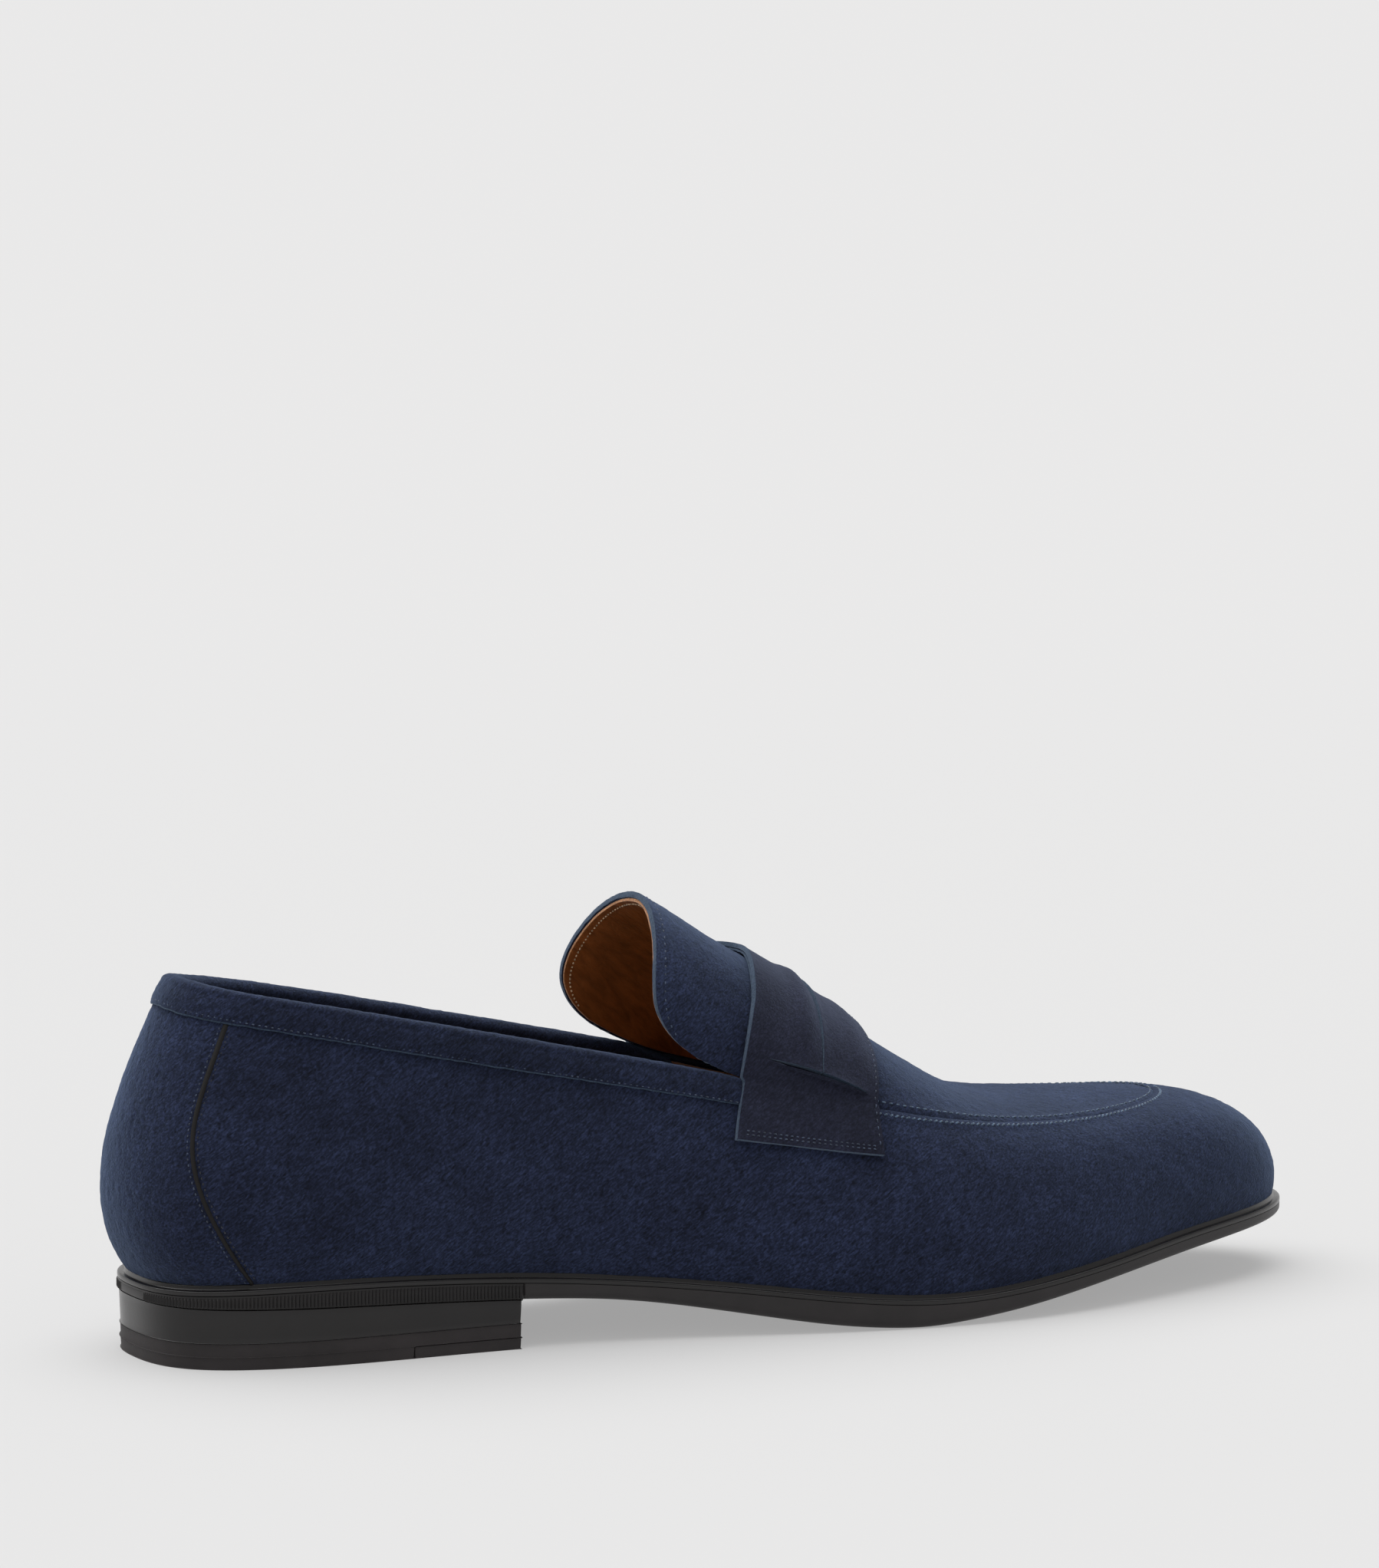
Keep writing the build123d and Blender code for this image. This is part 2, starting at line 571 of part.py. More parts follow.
with BuildPart() as heel_nails:
    for x, y in HEEL_NAILS:
        head_base = edge_height(GLUE)(x) + 0.2
        with BuildSketch(Plane.XY.offset(NAIL_TIP)):
            with Locations((x, y)):
                Circle(NAIL_RADIUS)
        extrude(amount=head_base - NAIL_TIP)
        with BuildSketch(Plane.XY.offset(head_base)):
            with Locations((x, y)):
                Circle(NAIL_HEAD_RADIUS)
        extrude(amount=NAIL_HEAD)
heel_nails.part.label = "heel_nails"
parts.append(heel_nails)

with BuildPart() as heel_screw:
    head_base = edge_height(GLUE)(0) + 0.2
    with BuildSketch(Plane.XY.offset(NAIL_TIP)):
        Circle(SCREW_RADIUS)
    extrude(amount=head_base - NAIL_TIP)
    with BuildSketch(Plane.XY.offset(head_base)):
        Circle(SCREW_HEAD_RADIUS)
    extrude(amount=NAIL_HEAD)
heel_screw.part.label = "heel_screw"
parts.append(heel_screw)

for piece in parts:
    export_step(piece.part, f"parts/{piece.part.label}.step")
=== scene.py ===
from itertools import product

import bmesh
import bpy
import numpy as np
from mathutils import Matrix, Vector


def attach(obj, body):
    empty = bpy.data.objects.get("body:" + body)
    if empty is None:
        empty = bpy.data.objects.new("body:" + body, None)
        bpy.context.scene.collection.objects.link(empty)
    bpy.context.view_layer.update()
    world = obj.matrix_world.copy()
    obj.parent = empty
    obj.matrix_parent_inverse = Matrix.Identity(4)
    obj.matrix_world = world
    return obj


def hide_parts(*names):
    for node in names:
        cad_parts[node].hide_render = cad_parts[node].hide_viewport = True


# Penny loafer, right foot. Shapes are worked out in millimetres and made into meshes in metres,
# in the frame's own axes: +X to the toe, -Y the outer side, +Z up, origin under the heel.
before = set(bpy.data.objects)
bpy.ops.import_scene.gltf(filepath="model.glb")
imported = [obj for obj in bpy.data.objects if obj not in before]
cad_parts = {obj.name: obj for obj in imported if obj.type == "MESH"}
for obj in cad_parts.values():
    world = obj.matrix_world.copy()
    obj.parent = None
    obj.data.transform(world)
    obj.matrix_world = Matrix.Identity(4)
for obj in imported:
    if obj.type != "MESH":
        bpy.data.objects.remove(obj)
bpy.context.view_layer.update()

MM = 0.001

# ---- driving sizes, as in the CAD model ----
SUEDE = 1.3
STRAP = 1.2
STRAP_UNDER = 0.6
STRAP_LIFT = 0.65
BINDING = 0.75
LINING = 0.9
LINING_DEPTH = 2.25
TONGUE_LINING_DEPTH = 1.42
SEAM_EDGE = 0.985
BINDING_END = 4.3
GRIP_END = 3.15
SLIT_AT = 0.9
SOLE_MARGIN = 1.8
WELT_HEIGHT = 2.1
RAND_WIDTH = 1.3
RAND_END = 42.4
HEEL_MARGIN = 1.2
HEEL_BREAST = 42.0
TOP_LIFT = 6.0
LIFT_INSERT = 2.8
INSERT_START = 15.0
FILLER, INSOLE, SOCK, HEEL_PAD, GLUE = 1.4, 1.8, 0.9, 2.0, 0.12

# bottom x, y | top x, y, z | lower handle out, up | upper handle out, down
STATIONS = np.array([
    [-41.5, 0.0, -32.0, 0.0, 87.9, 13.2, 18.0, 13.0, 24.0],
    [-34.5, -20.5, -25.0, -14.5, 86.0, 12.3, 19.0, 8.5, 22.0],
    [-3.0, -29.5, 2.0, -23.5, 80.6, 7.0, 20.0, 4.0, 20.0],
    [47.0, -30.0, 51.0, -28.0, 70.0, 6.0, 18.0, 3.0, 16.0],
    [93.0, -38.0, 97.0, -30.8, 59.8, 4.0, 16.0, 5.0, 12.0],
    [138.0, -47.5, 137.0, -35.0, 50.2, 3.0, 13.0, 10.0, 10.0],
    [179.0, -46.0, 174.0, -31.5, 44.7, 2.0, 12.0, 12.0, 6.0],
    [219.0, -33.5, 203.0, -22.5, 43.9, 2.0, 12.0, 13.0, 3.5],
    [248.5, -18.5, 220.0, -12.0, 44.7, 2.6, 13.2, 17.6, 2.0],
    [260.0, 1.5, 225.5, 0.0, 45.2, 3.2, 14.0, 22.0, 1.0],
    [250.5, 19.5, 220.0, 12.0, 44.7, 2.6, 13.2, 17.6, 2.0],
    [224.0, 31.5, 203.0, 22.5, 43.9, 2.0, 12.0, 13.0, 3.5],
    [185.0, 45.5, 174.0, 31.5, 44.7, 2.0, 12.0, 12.0, 6.0],
    [145.0, 45.5, 137.0, 35.0, 50.2, 3.0, 13.0, 10.0, 10.0],
    [97.0, 31.0, 97.0, 30.8, 59.8, 7.0, 18.0, 5.0, 12.0],
    [51.0, 25.5, 51.0, 28.0, 70.0, 9.0, 20.0, 3.0, 16.0],
    [-1.0, 28.5, 2.0, 23.5, 80.6, 8.0, 20.0, 4.0, 20.0],
    [-34.5, 20.0, -25.0, 14.5, 86.0, 12.3, 19.0, 8.5, 22.0],
])
ROUND = len(STATIONS)
TOE = ROUND // 2

BOTTOM_EDGE = [(-53, 18.5), (-3, 19.8), (47, 17.4), (87, 13.6), (117, 9.7),
               (142, 7.7), (167, 9.0), (197, 12.8), (227, 16.4), (275, 18.9)]
UNDERSIDE = [(-53, 14.3), (2, 13.3), (44, 11.5), (67, 9.9), (87, 6.9), (107, 3.3), (122, 1.1),
             (137, 0.1), (150, 0.9), (167, 3.0), (192, 6.9), (217, 10.2), (242, 12.5), (275, 14.8)]

# stations back from the toe | ridge x, z | edge handle x, inward, up | ridge handle
SECTIONS = np.array([
    [0.00, 225.5, 45.2, 0.0, 0.1, 0.1, 0.1],
    [1.00, 220.5, 45.9, 0.0, 4.0, 0.5, 5.0],
    [2.00, 203.5, 46.8, 0.0, 7.0, 1.4, 8.0],
    [3.00, 175.0, 48.7, 0.0, 9.0, 3.2, 11.0],
    [3.50, 157.5, 56.2, 0.0, 8.0, 5.0, 12.0],
    [4.00, 139.0, 67.8, 0.0, 5.0, 9.0, 14.0],
    [4.45, 121.5, 80.0, 0.0, 2.5, 13.0, 16.0],
    [4.85, 106.0, 88.8, 0.0, 0.5, 18.0, 17.0],
    [5.12, 95.0, 95.8, -2.0, -0.5, 18.5, 16.0],
    [5.38, 84.6, 102.1, -6.0, -0.5, 18.0, 16.0],
])
LAST = len(SECTIONS) - 1.0
TONGUE_FREE = 4.75
TONGUE_LIFT = 6.5
TONGUE_PINCH = 1.0
TONGUE_CORNER = 1.0
COUNTER_SEAM = [1.46, 1.16, 0.95, 0.98, 1.13]


# ---- the shoe's surfaces, as in the CAD model ----
def spline(rows, t, closed):
    """Cubic B-spline through the rows, at parameters t (row k is met at t = k)."""
    rows = np.asarray(rows, float)
    t = np.asarray(t, float)
    n = len(rows)
    if closed:
        system = 4 * np.eye(n) + np.roll(np.eye(n), 1, 0) + np.roll(np.eye(n), -1, 0)
        control = np.linalg.solve(system, 6 * rows)
        k = np.floor(t).astype(int)
        c = [control[(k + j) % n] for j in (-1, 0, 1, 2)]
    else:
        system = np.zeros((n + 2, n + 2))
        for i in range(n):
            system[i + 1, i:i + 3] = 1, 4, 1
        system[0, :3] = system[-1, -3:] = 1, -2, 1
        control = np.linalg.solve(system, np.vstack([rows[:1] * 0, 6 * rows, rows[:1] * 0]))
        k = np.clip(np.floor(t).astype(int), 0, n - 2)
        c = [control[k + j] for j in (0, 1, 2, 3)]
    f = (t - k)[..., None]
    return ((1 - f)**3 * c[0] + (3 * f**3 - 6 * f**2 + 4) * c[1]
            + (-3 * f**3 + 3 * f**2 + 3 * f + 1) * c[2] + f**3 * c[3]) / 6


def bezier(a, b, c, d, t):
    return (1 - t)**3 * a + 3 * t * (1 - t)**2 * b + 3 * t**2 * (1 - t) * c + t**3 * d


def profile(points, x):
    """Height at x of the smooth line through a list of (x, z) points."""
    line = spline(points, np.linspace(0, len(points) - 1, 1500), False)
    return np.interp(x, line[:, 0], line[:, 1])


def outward(u):
    along = (spline(STATIONS, u + 1e-3, True) - spline(STATIONS, u - 1e-3, True))[..., :2]
    along /= np.linalg.norm(along, axis=-1, keepdims=True)
    return np.stack([along[..., 1], -along[..., 0], 0 * u], -1)


def wall(u, v):
    """Outer face of the side walls: u in stations round the shoe, v from bottom 0 to top 1."""
    u, v = np.broadcast_arrays(np.asarray(u, float), np.asarray(v, float))
    row = spline(STATIONS, u, True)
    out = outward(u)
    up = np.array([0, 0, 1.0])
    foot = np.stack([row[..., 0], row[..., 1], profile(BOTTOM_EDGE, row[..., 0])], -1)
    top = row[..., 2:5]
    low_handle = foot + out * row[..., 5:6] + up * row[..., 6:7]
    high_handle = top + out * row[..., 7:8] - up * row[..., 8:9]
    return bezier(foot, low_handle, high_handle, top, v[..., None])


def apron(s, w):
    """Outer face of apron and tongue: s in sections from the toe, w from -1 (outer) to 1."""
    s, w = np.broadcast_arrays(np.asarray(s, float), np.asarray(w, float))
    back, ridge_x, ridge_z, hx, hy, hz, hr = np.moveaxis(spline(SECTIONS, s, False), -1, 0)
    side = np.where(w < 0, 1.0, -1.0)
    free = np.clip((back - TONGUE_FREE) / (SECTIONS[-1, 0] - TONGUE_FREE), 0, None)
    edge = wall(TOE - side * back, 1.0)
    edge = edge + np.stack([0 * s, side * TONGUE_PINCH * free, TONGUE_LIFT * free**2], -1)
    ridge = np.stack([ridge_x, 0 * s, ridge_z], -1)
    edge_handle = edge + np.stack([hx, side * hy, hz], -1)
    ridge_handle = ridge + np.stack([0 * s, -side * hr, 0 * s], -1)
    return bezier(edge, edge_handle, ridge_handle, ridge, (1 - np.abs(w))[..., None])


def normals(surface, a, b, outwards=1):
    step = 1e-3
    across = surface(a + step, b) - surface(a - step, b)
    up = surface(a, b + step) - surface(a, b - step)
    n = outwards * np.cross(across, up)
    return n / np.maximum(np.linalg.norm(n, axis=-1, keepdims=True), 1e-9)


def apron_normals(s, w):
    return normals(apron, s, w, -1)


def tongue_end(w):
    """Section at which the tongue ends: drawn out a little at the sides, with rounded corners."""
    return LAST - 0.13 + 0.5 * w**4 - TONGUE_CORNER * (1 - np.sqrt(1 - np.abs(w)**10))


def counter_seam(v):
    return spline(np.array(COUNTER_SEAM)[:, None], np.asarray(v) * 4, False)[..., 0]


def binding_line(u):
    """Height v of the binding's lower edge round the top line."""
    return 0.91 - 0.015 * np.minimum(np.abs(u), 4.0)


def strap_surface(q, p, lift):
    """Saddle strap: q from rear edge 0 to front edge 1; |p| to 1 on the apron, on to 2 on the wall."""
    w = np.clip(p, -1, 1)
    rear_back = 4.68 + 0.34 * ((w**2 + 0.01)**0.35 - 0.2)
    front_back = 4.0 + 0.12 * w**2
    back = rear_back + q * (front_back - rear_back)
    s = np.interp(back, SECTIONS[:, 0], np.arange(len(SECTIONS)))
    down = np.clip(np.abs(p) - 1, 0, 1)
    v = 1 - down * (0.33 - 0.045 * q)
    u = TOE + np.sign(p) * (back + down * (0.06 - 0.04 * q))
    over_n, side_n = apron_normals(s, w), normals(wall, u, v)
    share = 0.5 * np.exp(-np.abs(np.abs(p) - 1) / 0.08)[..., None]
    on_side = (np.abs(p) > 1)[..., None]
    n = np.where(on_side, side_n + share * (over_n - side_n), over_n + share * (side_n - over_n))
    height = (lift - 0.5 * np.minimum(1, 3 * down))[..., None]
    return np.where(on_side, wall(u, v), apron(s, w)) + height * n


def edge_height(x):
    return profile(BOTTOM_EDGE, x)


def underside(x):
    return profile(UNDERSIDE, x)


# ---- mesh helpers ----
def lumps(points, size, seed):
    """Smooth noise from -1 to 1 whose features are about this size."""
    place = np.asarray(points) / size + 31.7 * seed
    cell = np.floor(place).astype(np.int64)
    f = place - cell
    f = f * f * (3 - 2 * f)
    total = 0
    for corner in product((0, 1), repeat=3):
        c = cell + np.array(corner)
        key = (c[..., 0] * 73856093) ^ (c[..., 1] * 19349663) ^ (c[..., 2] * 83492791)
        key = ((key ^ (key >> 13)) * 1274126177) & 0xffffffff
        value = ((key ^ (key >> 16)) & 0xffff) / 32767.5 - 1
        weight = np.prod(np.where(np.array(corner) == 1, f, 1 - f), axis=-1)
        total = total + value * weight
    return total


def even(line, start, end, count):
    """Parameters from start to end whose points on the line are evenly spaced."""
    t = np.linspace(start, end, 2000)
    run = np.r_[0, np.cumsum(np.linalg.norm(np.diff(line(t), axis=0), axis=1))]
    return np.interp(np.linspace(0, run[-1], count), run, t)


def quads(rows, columns, ring=False, flip=False):
    """Faces of a grid of points; ring joins the last column to the first."""
    i, j = np.meshgrid(np.arange(rows - 1), np.arange(columns if ring else columns - 1), indexing="ij")
    k = (j + 1) % columns
    faces = np.stack([i * columns + j, i * columns + k, (i + 1) * columns + k, (i + 1) * columns + j], -1)
    faces = faces.reshape(-1, 4)
    return faces[:, ::-1].tolist() if flip else faces.tolist()


def make(name, points, faces, materials, sharp=50, face_slots=None):
    """A mesh object, in metres, from points in millimetres."""
    mesh = bpy.data.meshes.new(name)
    mesh.from_pydata((np.asarray(points, float).reshape(-1, 3) * MM).tolist(), [], faces)
    for item in materials:
        mesh.materials.append(item)
    if face_slots is not None:
        mesh.polygons.foreach_set("material_index", np.asarray(face_slots, np.int32))
    obj = bpy.data.objects.new(name, mesh)
    bpy.context.scene.collection.objects.link(obj)
    finish_mesh(obj, sharp)
    return obj


def finish_mesh(obj, sharp):
    """Applies modifiers and shades smooth up to an angle in degrees."""
    if obj.modifiers:
        evaluated = obj.evaluated_get(bpy.context.evaluated_depsgraph_get())
        mesh = bpy.data.meshes.new_from_object(evaluated)
        obj.modifiers.clear()
        obj.data = mesh
    obj.data.polygons.foreach_set("use_smooth", [True] * len(obj.data.polygons))
    obj.data.set_sharp_from_angle(angle=np.radians(sharp))
    obj.data.update()


def thicken(obj, thickness, rim=1, round_edge=0.3, sharp=50):
    """Gives a sheet its thickness, inward from its face, with rounded cut edges."""
    bpy.context.view_layer.update()
    solid = obj.modifiers.new("thickness", "SOLIDIFY")
    solid.thickness = thickness * MM
    solid.offset = -1
    solid.use_quality_normals = True
    solid.material_offset_rim = rim
    if round_edge:
        edge = obj.modifiers.new("edge", "BEVEL")
        edge.width = round_edge * MM
        edge.segments = 3
        edge.limit_method = "ANGLE"
        edge.angle_limit = np.radians(60)
    finish_mesh(obj, sharp)
    return obj


def tube(name, line, across, up, half_width, half_height, material, sides=12):
    """A closed cord along a line, wider than high where the halves differ."""
    angle = np.linspace(0, 2 * np.pi, sides, endpoint=False)
    ends = np.ones(len(line))
    ends[[0, -1]] = 0.35
    ring = (np.cos(angle)[None, :, None] * across[:, None, :] * half_width
            + np.sin(angle)[None, :, None] * up[:, None, :] * half_height)
    points = line[:, None, :] + ring * ends[:, None, None]
    faces = quads(len(line), sides, ring=True)
    faces.append(list(range(sides))[::-1])
    faces.append(list(range((len(line) - 1) * sides, len(line) * sides)))
    return weld(make(name, points, faces, [material]))


def along_line(line):
    step = np.gradient(line, axis=0)
    return step / np.linalg.norm(step, axis=1, keepdims=True)


def stitches(name, line, up, pitch, length, radius, material, tilt=0.0, sink=0.35, seed=1):
    """A row of sewn stitches: short bowed threads whose ends go down into the leather."""
    rng = np.random.default_rng(seed)
    run = np.r_[0, np.cumsum(np.linalg.norm(np.diff(line, axis=0), axis=1))]
    count = int(run[-1] / pitch)
    at = (np.arange(count) + 0.5) * run[-1] / count
    pick = lambda values: np.stack([np.interp(at, run, values[:, k]) for k in range(3)], -1)
    centre, n, t = pick(line), pick(up), pick(along_line(line))
    n /= np.linalg.norm(n, axis=1, keepdims=True)
    b = np.cross(n, t)
    turn = np.radians(tilt + rng.normal(0, 4, count))[:, None]
    axis = np.cos(turn) * t + np.sin(turn) * b
    side = np.cross(n, axis)
    a = np.array([-0.5, -0.44, -0.25, 0, 0.25, 0.44, 0.5])
    fat = np.array([0.35, 0.8, 1.0, 1.0, 1.0, 0.8, 0.35])
    sides = 8
    angle = np.linspace(0, 2 * np.pi, sides, endpoint=False)
    size = length * rng.uniform(0.88, 1.1, count)
    points = (centre[:, None, None, :]
              + axis[:, None, None, :] * (a[None, :, None, None] * size[:, None, None, None])
              + radius * fat[None, :, None, None]
              * (np.cos(angle)[None, None, :, None] * side[:, None, None, :]
                 + np.sin(angle)[None, None, :, None] * n[:, None, None, :])
              - n[:, None, None, :] * sink * (2 * a[None, :, None, None])**4)
    one = np.array(quads(len(a), sides, ring=True, flip=True))
    faces = (one[None] + (np.arange(count) * len(a) * sides)[:, None, None]).reshape(-1, 4).tolist()
    first = np.arange(sides)
    for k in range(count):
        base = k * len(a) * sides
        faces.append((base + first).tolist())
        faces.append((base + (len(a) - 1) * sides + first)[::-1].tolist())
    return weld(make(name, points, faces, [material]))


# ---- materials ----
def new_material(name, colour, roughness, **inputs):
    """A Principled material; inputs are its own sockets, with _ for each space."""
    made = bpy.data.materials.new(name)
    made.use_nodes = True
    shader = made.node_tree.nodes["Principled BSDF"]
    shader.inputs["Base Color"].default_value = (*colour, 1)
    shader.inputs["Roughness"].default_value = roughness
    for key, value in inputs.items():
        shader.inputs[key.replace("_", " ")].default_value = value
    made.diffuse_color = (*colour, 1)
    return made


def node(made, kind, **settings):
    """A new node; settings with a capital are its sockets, the others its properties."""
    item = made.node_tree.nodes.new(kind)
    for key, value in settings.items():
        if key[0].isupper():
            item.inputs[key.replace("_", " ")].default_value = value
        else:
            setattr(item, key, value)
    return item


def link(made, source, target):
    made.node_tree.links.new(source, target)


def place(made, stretch=(1, 1, 1), turn=(0, 0, 0)):
    """Coordinates in the shoe's own frame; features come out stretched along turned axes."""
    coordinates = node(made, "ShaderNodeTexCoord")
    mapping = node(made, "ShaderNodeMapping", vector_type="TEXTURE", Scale=stretch, Rotation=turn)
    link(made, coordinates.outputs["Object"], mapping.inputs["Vector"])
    return mapping.outputs["Vector"]


def grain(made, vector, size, detail=3.0, roughness=0.6, distortion=0.0):
    """Noise whose features are about this size in millimetres."""
    item = node(made, "ShaderNodeTexNoise", Scale=1 / (size * MM), Detail=detail, Roughness=roughness,
                Distortion=distortion)
    link(made, vector, item.inputs["Vector"])
    return item.outputs["Fac"]


def ramp(made, factor, *stops):
    item = node(made, "ShaderNodeValToRGB")
    while len(item.color_ramp.elements) < len(stops):
        item.color_ramp.elements.new(0.5)
    for element, (position, colour) in zip(item.color_ramp.elements, stops):
        element.position = position
        element.color = (*colour, 1)
    link(made, factor, item.inputs["Fac"])
    return item.outputs["Color"]


def mix_numbers(made, kind, a, b):
    item = node(made, "ShaderNodeMath", operation=kind)
    for value, socket in ((a, item.inputs[0]), (b, item.inputs[1])):
        if isinstance(value, (int, float)):
            socket.default_value = value
        else:
            link(made, value, socket)
    return item.outputs[0]


def mix_colours(made, kind, factor, a, b):
    item = node(made, "ShaderNodeMix", data_type="RGBA", blend_type=kind)
    sockets = [item.inputs[0], item.inputs[6], item.inputs[7]]
    for value, socket in zip((factor, a, b), sockets):
        if isinstance(value, (int, float)):
            socket.default_value = value
        elif isinstance(value, tuple):
            socket.default_value = (*value, 1)
        else:
            link(made, value, socket)
    return item.outputs[2]


def bump(made, height, depth, strength=1.0):
    """Relief of this depth in millimetres."""
    item = node(made, "ShaderNodeBump", Distance=depth * MM, Strength=strength)
    link(made, height, item.inputs["Height"])
    link(made, item.outputs["Normal"], made.node_tree.nodes["Principled BSDF"].inputs["Normal"])


def colour(made, source):
    link(made, source, made.node_tree.nodes["Principled BSDF"].inputs["Base Color"])


def scaled(rgb, factor):
    return tuple(c * factor for c in rgb)


def suede(name, base, sheen=0.32, contrast=1.0, tint=(0.35, 0.5, 0.8)):
    """Brushed suede: short slanted fibres, soft blotches where the nap lies differently."""
    made = new_material(name, base, 0.95, Specular_IOR_Level=0.15, Sheen_Weight=sheen,
                        Sheen_Roughness=0.45, Sheen_Tint=(*tint, 1))
    along = place(made, (3.6, 1.3, 1.0), (0.0, -0.62, 0.0))
    fibre = grain(made, along, 0.42, 3, 0.6, 0.6)
    plain = place(made)
    speck = grain(made, plain, 0.6, 2, 0.5)
    tuft = grain(made, place(made, (1.8, 1.0, 1.0), (0.0, -0.62, 0.0)), 1.9, 3, 0.6)
    blotch = grain(made, plain, 15, 4, 0.6, 0.4)
    patch = grain(made, plain, 46, 2, 0.5)
    share = lambda source, amount: mix_numbers(made, "MULTIPLY", source, amount)
    fine = mix_numbers(made, "ADD", mix_numbers(made, "ADD", share(fibre, 0.58), share(speck, 0.28)),
                       share(tuft, 0.14))
    lie = ramp(made, fine, (0.36, scaled(base, max(0, 1 - 0.75 * contrast))), (0.5, base),
               (0.64, scaled(base, 1 + 1.3 * contrast)))
    shade = ramp(made, mix_numbers(made, "ADD", share(blotch, 0.6), share(patch, 0.4)),
                 (0.36, (0.72, 0.71, 0.72)), (0.64, (1.28, 1.28, 1.26)))
    colour(made, mix_colours(made, "MULTIPLY", 1.0, lie, shade))
    bump(made, fine, 0.4, 0.9)
    return made


def raw_edge(name, base):
    """The cut edge of dyed leather: paler, fibrous."""
    made = new_material(name, base, 0.95, Specular_IOR_Level=0.1, Sheen_Weight=0.3,
                        Sheen_Tint=(0.6, 0.75, 1.0, 1))
    vector = place(made)
    fibre = grain(made, vector, 0.5, 3, 0.7)
    colour(made, ramp(made, fibre, (0.3, scaled(base, 0.5)), (0.5, base), (0.7, scaled(base, 1.5))))
    bump(made, fibre, 0.25)
    return made


def smooth_leather(name, base, roughness=0.42, crease=0.25, stretch=(1, 1, 1), turn=(0, 0, 0)):
    """Lining leather: fine pores, long soft creases, uneven dye; the creases carry painted shade in their troughs and
    painted light on their crests.
    """
    made = new_material(name, base, roughness, Specular_IOR_Level=0.35)
    pores = node(made, "ShaderNodeTexVoronoi", Scale=1 / (0.8 * MM), Randomness=1.0)
    vector = place(made)
    link(made, vector, pores.inputs["Vector"])
    dye = grain(made, vector, 22, 4, 0.6)
    folds = grain(made, place(made, stretch, turn), 1.8, 3, 0.6, 0.3)
    tone = ramp(made, dye, (0.32, scaled(base, 0.72)), (0.5, base), (0.7, scaled(base, 1.28)))
    # Painted shade and light: colour darker in the crease troughs and lighter on their crests, following the crease
    # relief.
    fold_shading = ramp(made, folds, (0.34, 3 * (1 - 0.9 * crease,)), (0.66, 3 * (1 + 1.1 * crease,)))
    colour(made, mix_colours(made, "MULTIPLY", 1.0, tone, fold_shading))
    height = mix_numbers(made, "ADD", mix_numbers(made, "MULTIPLY", pores.outputs["Distance"], 0.12), folds)
    bump(made, height, crease * 2.0)
    return made


def thread(name, base):
    made = new_material(name, base, 0.7, Specular_IOR_Level=0.3, Sheen_Weight=0.3)
    twist = node(made, "ShaderNodeTexWave", Scale=1 / (3.2 * MM), Distortion=1.0, Detail=2.0)
    link(made, place(made, turn=(0, 0.6, 0.4)), twist.inputs["Vector"])
    colour(made, ramp(made, twist.outputs["Fac"], (0.2, scaled(base, 0.6)), (0.8, scaled(base, 1.25))))
    bump(made, twist.outputs["Fac"], 0.06)
    return made


def coated(name, base, roughness, coat=0.0, speckle=0.6, relief=0.03, size=1.2, shine=0.3):
    """Rubber, inked leather or lacquered edge: slight mottling in colour, gloss and surface."""
    made = new_material(name, base, roughness, Coat_Weight=coat, Coat_Roughness=0.12, Specular_IOR_Level=shine)
    vector = place(made)
    small = grain(made, vector, size, 4, 0.6)
    large = grain(made, vector, 12, 3, 0.6)
    colour(made, ramp(made, large, (0.3, scaled(base, 1 - 0.4 * speckle)), (0.7, scaled(base, 1 + 0.5 * speckle))))
    gloss = node(made, "ShaderNodeMapRange", To_Min=roughness * 0.85, To_Max=min(1, roughness * 1.2))
    link(made, large, gloss.inputs["Value"])
    link(made, gloss.outputs["Result"], made.node_tree.nodes["Principled BSDF"].inputs["Roughness"])
    bump(made, small, relief)
    return made


def board(name, dark, light, size=1.5):
    """Pressed fibre, cork or foam: crumbs of two colours."""
    made = new_material(name, light, 0.9, Specular_IOR_Level=0.2)
    crumbs = node(made, "ShaderNodeTexVoronoi", Scale=1 / (size * MM))
    link(made, place(made), crumbs.inputs["Vector"])
    colour(made, mix_colours(made, "MIX", crumbs.outputs["Distance"], dark, light))
    bump(made, crumbs.outputs["Distance"], 0.15)
    return made


def steel(name, base, roughness):
    made = new_material(name, base, roughness, Metallic=1.0)
    brushed = grain(made, place(made, (12, 1, 1)), 0.3, 3)
    colour(made, ramp(made, brushed, (0.3, scaled(base, 0.75)), (0.7, base)))
    bump(made, brushed, 0.02)
    return made


